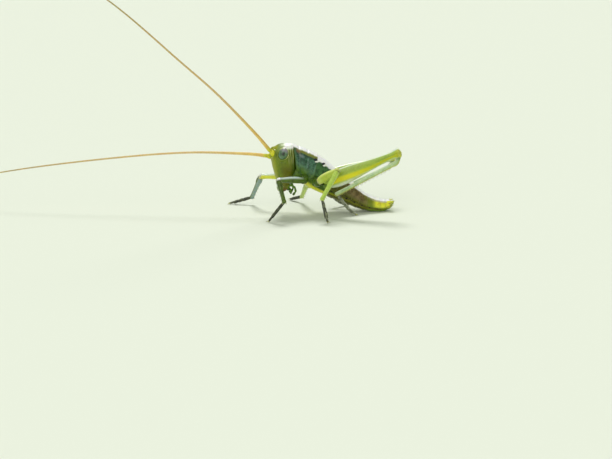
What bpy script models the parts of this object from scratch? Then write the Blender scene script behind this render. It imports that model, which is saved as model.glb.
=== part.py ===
"""A young bush-cricket (long-horned grasshopper), life size, standing with its head raised.

The animal faces -Y, its left side is +X and the floor is Z = 0. Sizes below are in
millimetres. Each piece of the body is lofted from a few stations, and a piece that meets
an earlier one is hollowed by a slightly larger copy of it, so that they touch with no overlap.
"""
import math

import bmesh
import bpy
from mathutils import Matrix, Vector

MM = 0.001
GAP = 0.06                  # clearance left between two pieces that meet
FOOT_HEIGHT = 0.13          # middle of a rounded foot above the floor, which trims it to a flat

# The trunk, from the neck to the tail: back line, belly line (Y, Z) and half width.
TRUNK = (
    ((-0.62, 6.32), (-0.38, 3.30), 1.02),
    ((1.50, 5.34), (0.72, 2.35), 1.24),
    ((3.00, 4.16), (2.20, 1.62), 1.14),
    ((4.50, 2.92), (3.92, 0.92), 0.98),
    ((5.95, 1.72), (5.68, 0.22), 0.84),
    ((7.30, 1.12), (7.40, -0.10), 0.68),
    ((8.30, 0.98), (8.36, 0.34), 0.32),
)
TRUNK_LENGTHS = (           # name, first and last station, colour
    ("mesothorax", 1.0, 1.5, "thorax_green"),
    ("metathorax", 1.5, 2.0, "thorax_green"),
    ("abdomen_1", 2.0, 2.9, "abdomen_brown"),
    ("abdomen_2", 2.9, 3.8, "abdomen_brown"),
    ("abdomen_3", 3.8, 4.7, "abdomen_brown"),
    ("abdomen_4", 4.7, 5.5, "tail_green"),
    ("tail_plate", 5.5, 6.0, "tail_green"),
)
FIRST_STATION_ON_FLOOR = 4.5          # the belly reaches the floor from here to the tail
SHIELD_LOW_EDGE = math.radians(-38)   # the pronotum's side lobes end this far below the middle

# The head, from the chin to the crown: height, front and back of the section, half width.
HEAD = (
    (2.38, -1.96, -1.08, 0.66),
    (3.05, -2.14, -0.72, 0.93),
    (4.05, -2.42, -0.34, 1.12),
    (5.15, -2.66, -0.28, 1.14),
    (5.80, -2.54, -0.42, 0.96),
    (6.22, -2.14, -0.60, 0.62),
)
EYE_CENTRE = Vector((0.98, -1.64, 5.60))
EYE_RADII = Vector((0.36, 0.41, 0.56))
EYE_LEAN = math.radians(-24)          # the eye's top leans back
EYE_TURN = math.radians(14)           # and its face is turned forward

# Feelers: each runs through these points, and tapers from base to tip.
FEELER_RADIUS = (0.30, 0.25)
FEELERS = {
    "left": ((0.44, -2.78, 5.86), (1.28, -4.40, 7.82), (3.33, -7.70, 11.40),
             (5.45, -11.20, 14.70), (8.80, -16.55, 19.65), (12.10, -22.60, 24.20)),
    "right": ((-0.42, -2.96, 5.24), (-0.86, -4.90, 5.40), (-1.95, -9.75, 5.44),
              (-3.25, -15.60, 4.95), (-5.10, -23.90, 3.85), (-6.70, -32.00, 2.40)),
}
SCAPES = {
    "left": ((0.50, -2.10, 5.24), (0.42, -2.62, 5.74)),
    "right": ((-0.50, -2.12, 5.16), (-0.40, -2.84, 5.22)),
}
FEELER_LENGTHS = (("base", 0.0, 1.5), ("middle", 1.5, 3.2), ("tip", 3.2, 5.0))

# Mouth: stations are X, Y, Z, half width and half depth, and X is mirrored for the right side.
LABRUM = ((0.0, -1.86, 2.62, 0.46, 0.25), (0.0, -1.66, 2.14, 0.34, 0.25))
MANDIBLE = ((0.47, -1.42, 2.62, 0.29, 0.36), (0.36, -1.36, 2.00, 0.26, 0.29))
LONG_PALP = ((0.72, -1.06, 2.86, 0.25, 0.25), (0.82, -0.64, 2.62, 0.25, 0.25),
             (0.80, -0.58, 2.20, 0.25, 0.25), (0.74, -0.82, 1.82, 0.25, 0.25))
SHORT_PALP = ((0.30, -0.98, 2.56, 0.25, 0.25), (0.32, -0.86, 1.98, 0.25, 0.25))
CERCUS = ((0.34, 7.80, 0.86, 0.25, 0.25), (0.46, 8.30, 0.92, 0.25, 0.25))

# Legs: root in the trunk, hip, knee, ankle and toe (X, Y, Z). The toe's height is the floor.
LEGS = {
    "front_left": ((0.72, 0.34, 3.44), (1.34, 0.16, 3.24), (3.40, -2.38, 3.66),
                   (4.50, -2.02, 1.93), (3.80, -3.28, 0.0)),
    "front_right": ((-0.72, 0.34, 3.24), (-1.34, 0.16, 2.98), (-2.60, -3.24, 2.98),
                    (-4.50, -3.86, 0.68), (-4.80, -5.90, 0.0)),
    "middle_left": ((0.74, 1.38, 2.92), (1.66, 1.40, 3.20), (3.14, 2.95, 4.36),
                    (4.36, 1.36, 2.06), (4.90, 1.76, 0.0)),
    "middle_right": ((-0.72, 1.46, 2.60), (-1.40, 1.26, 2.34), (-3.10, 1.00, 1.92),
                     (-4.60, 0.80, 0.60), (-6.05, -0.10, 0.0)),
    "hind_left": ((0.66, 2.34, 2.60), (1.42, 2.20, 3.02), (3.18, 8.42, 5.86),
                  (1.72, 3.10, 1.97), (1.90, 4.78, 0.0)),
    "hind_right": ((-0.66, 2.34, 2.56), (-1.42, 2.20, 2.80), (-2.76, 9.00, 4.50),
                   (-2.06, 3.06, 1.26), (-2.60, 4.84, 0.0)),
}
COXA_RADII = ((0.40, 0.44), (0.34, 0.38))
FEMUR_BOW = {"front": 0.06, "middle": 0.06, "hind": 0.0}     # how far its middle arches up
TARSUS_BOW = {"front": 0.0, "middle": 0.0, "hind": -0.22}     # and a hind foot's sags down
FEMUR_RADII = {             # place along the femur, half width and half depth
    "front": ((0.0, 0.27, 0.30), (0.4, 0.26, 0.29), (1.0, 0.25, 0.26)),
    "middle": ((0.0, 0.27, 0.34), (0.4, 0.28, 0.38), (1.0, 0.25, 0.30)),
    "hind": ((0.0, 0.33, 0.46), (0.18, 0.45, 0.78), (0.34, 0.43, 0.74), (0.62, 0.30, 0.50),
             (0.90, 0.25, 0.37), (1.0, 0.27, 0.49)),
}
TIBIA_RADII = ((0.0, 0.25, 0.28), (0.12, 0.25, 0.25), (1.0, 0.25, 0.25))
TARSUS_RADII = ((0.0, 0.25, 0.25), (0.5, 0.27, 0.25), (1.0, 0.25, 0.25))
KNEE_INSET = 0.20           # a tibia starts this far down from the middle of its knee
HIND_TIBIA_DROP = 0.76      # and the folded hind tibia this much lower

COLOURS = {
    "face_green": (0.24, 0.36, 0.03, 1),
    "eye_grey": (0.22, 0.32, 0.20, 1),
    "feeler_tan": (0.56, 0.36, 0.12, 1),
    "mouth_brown": (0.25, 0.20, 0.06, 1),
    "shield_teal": (0.09, 0.18, 0.09, 1),
    "thorax_green": (0.12, 0.24, 0.05, 1),
    "abdomen_brown": (0.26, 0.20, 0.07, 1),
    "tail_green": (0.36, 0.40, 0.06, 1),
    "leg_green": (0.20, 0.32, 0.10, 1),
    "hind_yellow": (0.42, 0.44, 0.05, 1),
    "foot_dark": (0.05, 0.06, 0.03, 1),
}


def clear_scene():
    """Remove whatever the file holds at the start."""
    for thing in list(bpy.data.objects):
        bpy.data.objects.remove(thing, do_unlink=True)


def material(name):
    """The plain cuticle material of one colour, made when first asked for."""
    made = bpy.data.materials.get(name)
    if made is None:
        made = bpy.data.materials.new(name)
        made.use_nodes = True
        shader = made.node_tree.nodes["Principled BSDF"]
        shader.inputs["Base Color"].default_value = COLOURS[name]
        shader.inputs["Roughness"].default_value = 0.18 if name == "eye_grey" else 0.42
        shader.inputs["Metallic"].default_value = 0.0
    return made


def between(rows, place):
    """A smooth (Catmull-Rom) value at a place measured in stations, for rows of equal length."""
    last = len(rows) - 1
    step = min(int(max(place, 0.0)), last - 1)
    t = place - step
    a, b, c, d = (rows[min(max(step + k, 0), last)] for k in (-1, 0, 1, 2))
    return [0.5 * (2 * q + (r - p) * t + (2 * p - 5 * q + 4 * r - s) * t * t
                   + (3 * q - p - 3 * r + s) * t ** 3) for p, q, r, s in zip(a, b, c, d)]


def spread(first, last, count):
    """Evenly spaced places from first to last."""
    return [first + (last - first) * k / (count - 1) for k in range(count)]


def oval(centre, side, up, sides, low=-math.pi / 2, high=1.5 * math.pi):
    """One ring of points round a centre, or the arc of it between two angles."""
    closed = high - low > 2 * math.pi - 0.01
    steps = sides if closed else sides - 1
    turns = [low + (high - low) * k / steps for k in range(sides)]
    return [centre + side * math.cos(a) + up * math.sin(a) for a in turns]


def skin_rings(name, rings, colour, hidden=False):
    """Join rings of equal length into one closed body and make it an object."""
    mesh = bpy.data.meshes.new(name)
    bm = bmesh.new()
    loops = [[bm.verts.new(p * MM) for p in ring] for ring in rings]
    for low, high in zip(loops, loops[1:]):
        for k in range(len(low)):
            n = (k + 1) % len(low)
            bm.faces.new((low[k], low[n], high[n], high[k]))
    bm.faces.new(loops[0][::-1])
    bm.faces.new(loops[-1])
    if bm.calc_volume(signed=True) < 0:
        bmesh.ops.reverse_faces(bm, faces=bm.faces)
    bm.to_mesh(mesh)
    bm.free()
    return place_mesh(name, mesh, colour, hidden)


def place_mesh(name, mesh, colour, hidden):
    """Put a mesh in the scene, as a piece of the animal or as a hidden cutter."""
    thing = bpy.data.objects.new(name, mesh)
    bpy.context.collection.objects.link(thing)
    if hidden:
        thing.hide_render = True
        thing.display_type = "WIRE"
    else:
        mesh.materials.append(material(colour))
        mesh.shade_smooth()
        mesh.set_sharp_from_angle(angle=math.radians(50))
    return thing


def dome(rings, axis, centre, reach, at_start):
    """Close one end of a row of rings with a low dome of smaller rings."""
    ring = rings[0] if at_start else rings[-1]
    out = -axis if at_start else axis
    caps = []
    for turn in (35, 65):
        shrink, lift = math.cos(math.radians(turn)), math.sin(math.radians(turn))
        caps.append([centre + (p - centre) * shrink + out * reach * lift for p in ring])
    return caps[::-1] + rings if at_start else rings + caps


def trunk_rings(first, last, count, sides, grow=0.0, low=-math.pi / 2, high=1.5 * math.pi):
    """Hoops of the trunk between two stations, each hung between back line and belly line."""
    rows = [back + belly + (half,) for back, belly, half in TRUNK]
    rings = []
    for place in spread(first, last, count):
        by, bz, uy, uz, half = between(rows, place)
        back, belly = Vector((0, by, bz)), Vector((0, uy, uz))
        up = (back - belly) / 2
        up *= 1 + grow / up.length
        rings.append(oval((back + belly) / 2, Vector((half + grow, 0, 0)), up, sides, low, high))
    return rings


def trunk_piece(name, first, last, colour):
    """One length of the trunk, shortened at both ends by half a gap."""
    trim = 0.5 * GAP / 1.3          # a station is about 1.3 mm to 1.9 mm long
    trunk_span = trunk_rings(first + trim, last - trim, 5, 20)
    return skin_rings(name, trunk_span, colour)


def shield():
    """The pronotum: the saddle-shaped plate over the prothorax, with its side lobes."""
    low, high = SHIELD_LOW_EDGE, math.pi - SHIELD_LOW_EDGE
    rings = trunk_rings(0.0, 1.0 - GAP / 2, 7, 19, 0.0, low, high)
    return skin_rings("pronotum", rings, "shield_teal")


def prothorax():
    """The soft underside below the shield, between the front legs."""
    low, high = math.pi - SHIELD_LOW_EDGE + 0.06, 2 * math.pi + SHIELD_LOW_EDGE - 0.06
    rings = trunk_rings(0.06, 1.0 - GAP / 2, 5, 9, 0.0, low, high)
    return skin_rings("prothorax", rings, "thorax_green")


def head(name="head", grow=0.0, hidden=False):
    """The head capsule: level sections from the chin to the crown."""
    rings = []
    for place in spread(0.0, len(HEAD) - 1, 9):
        height, front, back, half = between(HEAD, place)
        centre = Vector((0, (front + back) / 2, height))
        depth = Vector((0, (front - back) / 2 - grow, 0))
        rings.append(oval(centre, Vector((half + grow, 0, 0)), depth, 20))
    top = sum(rings[-1], Vector()) / len(rings[-1])
    foot = sum(rings[0], Vector()) / len(rings[0])
    rings = dome(rings, Vector((0, 0.05, 1)), top, 0.20 + grow, False)
    rings = dome(rings, Vector((0, 0, 1)), foot, 0.16 + grow, True)
    return skin_rings(name, rings, "face_green", hidden)


def eye(side, name, grow=0.0, hidden=False):
    """A compound eye: an oval ball, turned forward and leaning back."""
    sign = 1 if side == "left" else -1
    mesh = bpy.data.meshes.new(name)
    bm = bmesh.new()
    turn = Matrix.Rotation(-sign * EYE_TURN, 4, "Z") @ Matrix.Rotation(EYE_LEAN, 4, "X")
    centre = Vector((sign * EYE_CENTRE.x, EYE_CENTRE.y, EYE_CENTRE.z)) * MM
    size = Matrix.Diagonal((EYE_RADII + Vector((grow, grow, grow))).to_4d()) * MM
    size[3][3] = 1.0
    bmesh.ops.create_uvsphere(bm, u_segments=14, v_segments=9, radius=1.0,
                              matrix=Matrix.Translation(centre) @ turn @ size)
    bm.to_mesh(mesh)
    bm.free()
    return place_mesh(name, mesh, "eye_grey", hidden)


def rod(name, stations, sides, colour, count, grow=0.0, hidden=False, span=None):
    """A limb or feeler through stations of X, Y, Z, half width and half depth."""
    first, last = span or (0.0, len(stations) - 1)
    rows = [between(stations, place) for place in spread(first, last, count)]
    points = [Vector(row[:3]) for row in rows]
    rings = []
    for k, row in enumerate(rows):
        axis = (points[min(k + 1, count - 1)] - points[max(k - 1, 0)]).normalized()
        side = axis.cross(Vector((0, 0, 1)))
        if side.length < 0.2:
            side = axis.cross(Vector((0, 1, 0)))
        side.normalize()
        up = side.cross(axis)
        rings.append(oval(points[k], side * (row[3] + grow), up * (row[4] + grow), sides))
    start = (points[1] - points[0]).normalized()
    end = (points[-1] - points[-2]).normalized()
    rings = dome(rings, start, points[0], 0.8 * rows[0][3] + grow, True)
    rings = dome(rings, end, points[-1], 0.8 * rows[-1][3] + grow, False)
    return skin_rings(name, rings, colour, hidden)


def mirrored(stations, sign):
    """The same stations on the other side of the animal."""
    return [(sign * row[0],) + tuple(row[1:]) for row in stations]


def cut(piece, cutter):
    """Take the cutter's volume out of a piece."""
    step = piece.modifiers.new("cut_" + cutter.name, "BOOLEAN")
    step.operation = "DIFFERENCE"
    step.solver = "EXACT"
    step.object = cutter


def limb_stations(start, end, radii, bow=0.0):
    """Stations along a straight or slightly bowed limb, from its list of radii."""
    start, end = Vector(start), Vector(end)
    rows = []
    for place, wide, deep in radii:
        point = start.lerp(end, place) + Vector((0, 0, bow * 4 * place * (1 - place)))
        rows.append((point.x, point.y, point.z, wide, deep))
    return rows


def leg(name, trunk_cutter, floor_cutter):
    """One leg: coxa, femur, tibia and tarsus, each hollowed where it meets the one before."""
    root, hip, knee, ankle, toe = (Vector(p) for p in LEGS[name])
    kind = name.split("_")[0]
    colour = "hind_yellow" if kind == "hind" else "leg_green"
    coxa_rows = limb_stations(root, hip, ((0.0,) + COXA_RADII[0], (1.0,) + COXA_RADII[1]))
    rod_sides, shin_sides = 10, 8
    coxa = rod("coxa_" + name, coxa_rows, rod_sides, colour, 3)
    cut(coxa, trunk_cutter)
    coxa_cutter = rod("room_for_coxa_" + name, coxa_rows, rod_sides, colour, 3, GAP, True)

    femur_sides, femur_rings = (14, 11) if kind == "hind" else (10, 6)
    femur_rows = limb_stations(hip, knee, FEMUR_RADII[kind], FEMUR_BOW[kind])
    femur = rod("femur_" + name, femur_rows, femur_sides, colour, femur_rings)
    cut(femur, coxa_cutter)
    if kind == "hind":
        cut(femur, trunk_cutter)
    femur_cutter = rod("room_for_femur_" + name, femur_rows, femur_sides, colour,
                       femur_rings, GAP, True)

    drop = Vector((0, 0, HIND_TIBIA_DROP)) if kind == "hind" else Vector()
    top = knee - drop + (ankle - knee).normalized() * KNEE_INSET
    tibia_rows = limb_stations(top, ankle, TIBIA_RADII)
    tibia = rod("tibia_" + name, tibia_rows, shin_sides, colour, 5)
    cut(tibia, femur_cutter)
    tibia_cutter = rod("room_for_tibia_" + name, tibia_rows, shin_sides, colour, 5, GAP, True)

    sole = toe + Vector((0, 0, FOOT_HEIGHT))
    tarsus_rows = limb_stations(ankle, sole, TARSUS_RADII, TARSUS_BOW[kind])
    tarsus = rod("tarsus_" + name, tarsus_rows, shin_sides, "foot_dark", 5)
    cut(tarsus, tibia_cutter)
    cut(tarsus, floor_cutter)


def feeler(side, scape_cutter):
    """One antenna beyond its scape, in three lengths."""
    rows = []
    for k, point in enumerate(FEELERS[side]):
        radius = FEELER_RADIUS[0] + (FEELER_RADIUS[1] - FEELER_RADIUS[0]) * min(1.0, k / 2)
        rows.append(tuple(point) + (radius, radius))
    before = scape_cutter
    for part, first, last in FEELER_LENGTHS:
        span = (first, last)
        made = rod("antenna_%s_%s" % (part, side), rows, 8, "feeler_tan", 6, 0.0, False, span)
        cut(made, before)
        before = rod("room_for_antenna_%s_%s" % (part, side), rows, 8, None, 6, GAP, True, span)


def floor_block():
    """Everything below the floor, as a cutter for the flats the animal rests on."""
    mesh = bpy.data.meshes.new("below_floor")
    bm = bmesh.new()
    bmesh.ops.create_cube(bm, size=1.0, matrix=Matrix.Translation((0, 0, -2 * MM))
                          @ Matrix.Diagonal((40 * MM, 60 * MM, 4 * MM, 1)))
    bm.to_mesh(mesh)
    bm.free()
    return place_mesh("below_floor", mesh, None, True)


def build_head(trunk_cutter):
    """Head capsule, eyes, mouthparts and feelers."""
    capsule = head()
    cut(capsule, trunk_cutter)
    capsule_cutter = head("room_for_head", GAP, True)
    for side, sign in (("left", 1), ("right", -1)):
        eye(side, "eye_" + side)
        cut(capsule, eye(side, "room_for_eye_" + side, GAP, True))
        base, tip = SCAPES[side]
        scape_rows = [base + (0.30, 0.30), tip + (0.29, 0.29)]
        scape = rod("scape_" + side, scape_rows, 10, "feeler_tan", 4)
        cut(scape, capsule_cutter)
        feeler(side, rod("room_for_scape_" + side, scape_rows, 10, "feeler_tan", 4, GAP, True))
        jaw_rows = mirrored(MANDIBLE, sign)
        jaw = rod("mandible_" + side, jaw_rows, 10, "mouth_brown", 4)
        cut(jaw, capsule_cutter)
        jaw_cutter = rod("room_for_mandible_" + side, jaw_rows, 10, "mouth_brown", 4, GAP, True)
        for name, rows, rings in (("long_palp_", LONG_PALP, 8), ("short_palp_", SHORT_PALP, 4)):
            palp = rod(name + side, mirrored(rows, sign), 8, "face_green", rings)
            cut(palp, capsule_cutter)
            cut(palp, jaw_cutter)
    labrum = rod("labrum", LABRUM, 12, "face_green", 4)
    cut(labrum, capsule_cutter)
    for side in ("left", "right"):
        cut(labrum, bpy.data.objects["room_for_mandible_" + side])


def build_trunk(floor_cutter):
    """Shield, thorax, abdomen, tail plate and cerci."""
    shield()
    prothorax()
    for name, first, last, colour in TRUNK_LENGTHS:
        piece = trunk_piece(name, first, last, colour)
        if last > FIRST_STATION_ON_FLOOR:
            cut(piece, floor_cutter)
    tail_cutter = skin_rings("room_for_tail", trunk_rings(4.0, 6.0, 8, 20, GAP), None, True)
    for side, sign in (("left", 1), ("right", -1)):
        cut(rod("cercus_" + side, mirrored(CERCUS, sign), 8, "tail_green", 3), tail_cutter)


def centre_on_floor():
    """Move every piece so that the origin is under the middle of the whole animal."""
    graph = bpy.context.evaluated_depsgraph_get()
    corners = []
    for thing in bpy.data.objects:
        if not thing.hide_render:
            corners += [v.co for v in thing.evaluated_get(graph).data.vertices]
    lows = [min(c[k] for c in corners) for k in range(2)]
    highs = [max(c[k] for c in corners) for k in range(2)]
    shift = Vector([-(low + high) / 2 for low, high in zip(lows, highs)] + [0.0])
    for thing in bpy.data.objects:
        thing.location += shift
    print("moved by", [round(v / MM, 4) for v in shift], "mm")


def build():
    clear_scene()
    floor_cutter = floor_block()
    trunk_cutter = skin_rings("room_for_trunk", trunk_rings(0.0, 5.2, 18, 20, GAP), None, True)
    build_head(trunk_cutter)
    build_trunk(floor_cutter)
    for name in LEGS:
        leg(name, trunk_cutter, floor_cutter)
    centre_on_floor()


build()
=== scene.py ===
import math
import random

import bpy
from mathutils import Matrix, Vector, noise


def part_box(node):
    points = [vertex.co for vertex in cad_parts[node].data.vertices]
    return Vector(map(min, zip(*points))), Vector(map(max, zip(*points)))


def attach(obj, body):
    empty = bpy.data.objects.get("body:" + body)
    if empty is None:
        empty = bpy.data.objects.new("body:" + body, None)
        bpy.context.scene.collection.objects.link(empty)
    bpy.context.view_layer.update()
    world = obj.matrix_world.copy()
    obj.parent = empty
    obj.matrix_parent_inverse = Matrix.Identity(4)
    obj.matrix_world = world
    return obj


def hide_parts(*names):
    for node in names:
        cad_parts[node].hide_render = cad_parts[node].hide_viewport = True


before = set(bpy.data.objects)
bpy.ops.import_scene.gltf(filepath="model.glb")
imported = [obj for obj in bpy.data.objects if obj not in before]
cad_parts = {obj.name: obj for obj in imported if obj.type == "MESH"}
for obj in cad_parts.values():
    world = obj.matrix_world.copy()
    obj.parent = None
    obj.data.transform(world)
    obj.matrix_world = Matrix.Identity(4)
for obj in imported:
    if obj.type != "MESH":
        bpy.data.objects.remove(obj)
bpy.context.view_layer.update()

# ----------------------------------------------------------------------
# Where the animal stands. Sizes are in millimetres, in its own frame: face towards -Y, left
# side +X, floor at zero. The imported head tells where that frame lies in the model's.
MM = 0.001
FACE_FRONT = -2.664
head_low, head_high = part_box("head")
home = Vector(((head_low[0] + head_high[0]) / 2, head_low[1] - FACE_FRONT * MM, 0.0))


# ----------------------------------------------------------------------
# The trunk's skin: the thin green cuticle of flanks and belly and the soft folds between the
# plates. One closed body from the neck to the tail, with the plates lying over it.
TRUNK = (                   # back line and belly line (Y, Z), half width
    ((-0.62, 6.32), (-0.38, 3.30), 1.02),
    ((1.50, 5.34), (0.72, 2.35), 1.24),
    ((3.00, 4.16), (2.20, 1.62), 1.14),
    ((4.50, 2.92), (3.92, 0.92), 0.98),
    ((5.95, 1.72), (5.68, 0.22), 0.84),
    ((7.30, 1.12), (7.40, -0.02), 0.68),
    ((8.30, 0.98), (8.36, 0.34), 0.32),
)
TAIL_STATION = 6.0
SKIN_DEPTH = 0.05           # the skin lies this far inside the plates
RINGS_OF_ABDOMEN = tuple(2.0 + 0.42 * k for k in range(9))
FLOOR_CLEARANCE = 0.004


def between(rows, place):
    """A smooth value at a place measured in stations, for rows of equal length."""
    last = len(rows) - 1
    step = min(int(max(place, 0.0)), last - 1)
    t = place - step
    a, b, c, d = (rows[min(max(step + k, 0), last)] for k in (-1, 0, 1, 2))
    return [0.5 * (2 * q + (r - p) * t + (2 * p - 5 * q + 4 * r - s) * t * t
                   + (3 * q - p - 3 * r + s) * t ** 3) for p, q, r, s in zip(a, b, c, d)]


def trunk_point(station, turn, lift=0.0):
    """A point over the trunk: turn 0 is its left side, a quarter turn its back."""
    by, bz, uy, uz, half = between([back + belly + (w,) for back, belly, w in TRUNK], station)
    back, belly = Vector((0, by, bz)), Vector((0, uy, uz))
    up = (back - belly) / 2
    out = Vector((math.cos(turn) / half, 0, 0)) + up.normalized() * (math.sin(turn) / up.length)
    place = (back + belly) / 2 + Vector((half * math.cos(turn), 0, 0)) + up * math.sin(turn)
    place += out.normalized() * lift
    place.z = max(place.z, FLOOR_CLEARANCE)
    return place


def fold(value, middle, width):
    """A bell of height one round a middle value."""
    return math.exp(-((value - middle) / width) ** 2)


def ease(value, low, high):
    """Zero below low, one above high, and smooth between them."""
    t = min(max((value - low) / (high - low), 0.0), 1.0)
    return t * t * (3 - 2 * t)


LABELS = ("points", "along", "rise", "flank")       # what a heap holds for each point


def new_heap():
    """Points, their traits and the faces of a piece that is being put together."""
    return {label: [] for label in LABELS + ("faces",)}


def put(heap, *row):
    """Add a point with its traits to a heap."""
    for label, value in zip(LABELS, row):
        heap[label].append(value)


def circle(count, start=0.0):
    """Angles at even steps round a circle."""
    return [2 * math.pi * j / count + start for j in range(count)]


def add_rings(heap, rings):
    """Join rings of (point, along, rise, flank) into a skin, and close its ends."""
    base, around = len(heap["points"]), len(rings[0])
    for ring in rings:
        for row in ring:
            put(heap, *row)
    top = len(heap["points"]) - around
    for low in range(base, top, around):
        high = low + around
        for j in range(around):
            k = (j + 1) % around
            heap["faces"].append((low + j, low + k, high + k, high + j))
    heap["faces"].append(tuple(base + j for j in range(around))[::-1])
    heap["faces"].append(tuple(top + j for j in range(around)))


def new_object(name, data):
    """An object of the scene."""
    made = bpy.data.objects.new(name, data)
    bpy.context.collection.objects.link(made)
    return made


def make_piece(name, heap, material, replaced, relief=None, marks=None):
    """Turn a heap into an object that rides on the model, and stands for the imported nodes.
    relief(point) lifts its skin, and marks(point) is one more trait."""
    mesh = bpy.data.meshes.new(name)
    mesh.from_pydata([home + p * MM for p in heap["points"]], [], heap["faces"])
    heap["mark"] = [marks(p) if marks else 0.0 for p in heap["points"]]
    for label in LABELS[1:] + ("mark",):
        mesh.attributes.new(label, "FLOAT", "POINT").data.foreach_set("value", heap[label])
    mesh.shade_smooth()
    if relief:
        normals = [v.vector.copy() for v in mesh.vertex_normals]
        for vertex, normal in zip(mesh.vertices, normals):
            vertex.co += normal * relief((vertex.co - home) / MM) * MM
    mesh.materials.append(material)
    piece = new_object(name, mesh)
    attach(piece, "root")
    if replaced:
        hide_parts(*replaced)
    return piece


def paint(red, green, blue):
    """A colour from its everyday values of 0 to 255, as the shaders want it."""
    return tuple((v / 255 / 12.92) if v < 11 else ((v / 255 + 0.055) / 1.055) ** 2.4
                 for v in (red, green, blue)) + (1.0,)


def add(tree, kind, settings=None, **inputs):
    """Add a node and set its fields and inputs. An input is a socket to link or a value, and
    colours have values of 0 to 255."""
    node = tree.nodes.new(kind)
    for field, value in (settings or {}).items():
        setattr(node, field, value)
    for key, value in inputs.items():
        socket = node.inputs[int(key[1:])] if key[0] == "_" else node.inputs[key.replace("_", " ")]
        if isinstance(value, bpy.types.NodeSocket):
            tree.links.new(value, socket)
        else:
            socket.default_value = paint(*value) if socket.type == "RGBA" else value
    return node


def mix(tree, mask, low, high):
    """The colour low where the mask is 0 and high where it is 1."""
    return add(tree, "ShaderNodeMix", {"data_type": "RGBA"}, _0=mask, _6=low, _7=high).outputs[2]


def ramp(tree, value, start, full):
    """A mask that rises smoothly from 0 at start to 1 at full, whichever of them is lower."""
    return add(tree, "ShaderNodeMapRange", {"interpolation_type": "SMOOTHSTEP"}, Value=value,
               From_Min=min(start, full), From_Max=max(start, full),
               To_Min=float(start > full), To_Max=float(start < full)).outputs["Result"]


def maths(tree, operation, *values):
    """A sum on masks and numbers."""
    inputs = {"_%d" % k: value for k, value in enumerate(values)}
    return add(tree, "ShaderNodeMath", {"operation": operation}, **inputs).outputs[0]


def times(tree, first, second):
    """Two masks, or a mask and a number, multiplied."""
    return maths(tree, "MULTIPLY", first, second)


def fold_mask(tree, value, middle, width):
    """A soft bump of height one round a middle value, in a shader."""
    away = maths(tree, "ABSOLUTE", maths(tree, "SUBTRACT", value, middle))
    return ramp(tree, away, width, 0.0)


def trait(tree, name):
    """What the mesh stores for each point under this name."""
    node = tree.nodes.get(name)
    if node is None:
        node = add(tree, "ShaderNodeAttribute", {"attribute_name": name, "name": name})
    return node.outputs["Fac"]


def layered(tree, ground, *layers):
    """A ground with other colours laid over it. Each comes with its share, and with spans that
    all have to hold: a trait's name or a mask, then the start and full of its ramp, or "near"
    and the middle and half width of its bump."""
    for colour, share, *spans in layers:
        whole = None
        for value, *numbers in spans:
            value = trait(tree, value) if isinstance(value, str) else value
            bump = numbers[0] == "near"
            mask = fold_mask(tree, value, *numbers[1:]) if bump else ramp(tree, value, *numbers)
            whole = mask if whole is None else times(tree, whole, mask)
        ground = mix(tree, times(tree, whole, share), ground, colour)
    return ground


def cloud_noise(tree, size, detail=2.0, roughness=0.5):
    """Smooth noise over the object, with size counted in waves to the metre."""
    where = tree.nodes.new("ShaderNodeTexCoord").outputs["Object"]
    return add(tree, "ShaderNodeTexNoise", None, Vector=where, Scale=size, Detail=detail,
               Roughness=roughness).outputs["Fac"]


def make_group(name, inputs, outputs):
    """An empty node group with named sockets, and the nodes that carry them."""
    tree = bpy.data.node_groups.new(name, "ShaderNodeTree")
    for label, kind, value in inputs:
        socket = tree.interface.new_socket(name=label, in_out="INPUT", socket_type=kind)
        socket.default_value = value
    for label, kind in outputs:
        tree.interface.new_socket(name=label, in_out="OUTPUT", socket_type=kind)
    given, out = tree.nodes.new("NodeGroupInput"), tree.nodes.new("NodeGroupOutput")
    return tree, given.outputs, out.inputs


def use_group(tree, group, **inputs):
    """Place a node group in a material with its own values."""
    return add(tree, "ShaderNodeGroup", {"node_tree": group}, **inputs).outputs


COLOUR, NUMBER = "NodeSocketColor", "NodeSocketFloat"


def build_mottle():
    """Clouds and small flecks of two other colours on a ground, as under a thin cuticle."""
    tree, given, out = make_group(
        "mottle",
        (("Ground", COLOUR, (0.1, 0.2, 0.05, 1)), ("Cloud", COLOUR, (0.05, 0.1, 0.05, 1)),
         ("Fleck", COLOUR, (0.02, 0.03, 0.02, 1)), ("Cloud Size", NUMBER, 2500.0),
         ("Cloud Amount", NUMBER, 0.6), ("Fleck Size", NUMBER, 9000.0),
         ("Fleck Amount", NUMBER, 0.5)),
        (("Colour", COLOUR),))
    clouds = cloud_noise(tree, given["Cloud Size"], 4.0, 0.6)
    specks = cloud_noise(tree, given["Fleck Size"])
    colour = layered(tree, given["Ground"],
                     (given["Cloud"], given["Cloud Amount"], (clouds, 0.42, 0.62)),
                     (given["Fleck"], given["Fleck Amount"], (specks, 0.55, 0.72)))
    tree.links.new(colour, out["Colour"])
    return tree


def build_grain():
    """Fine pits and soft waves of the cuticle: a height for bumps, and a roughness."""
    tree, given, out = make_group(
        "grain", (("Pit Size", NUMBER, 22000.0), ("Wave Size", NUMBER, 3000.0),
                  ("Gloss", NUMBER, 0.34), ("Wear", NUMBER, 0.12)),
        (("Height", NUMBER), ("Roughness", NUMBER)))
    where = tree.nodes.new("ShaderNodeTexCoord").outputs["Object"]
    pits = add(tree, "ShaderNodeTexVoronoi", {"feature": "F1"}, Vector=where,
               Scale=given["Pit Size"]).outputs["Distance"]
    waves = cloud_noise(tree, given["Wave Size"], 3.0)
    height = maths(tree, "ADD", times(tree, ramp(tree, pits, 0.0, 0.5), 0.35), waves)
    rough = maths(tree, "MULTIPLY_ADD", waves, given["Wear"], given["Gloss"])
    tree.links.new(height, out["Height"])
    tree.links.new(rough, out["Roughness"])
    return tree


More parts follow.
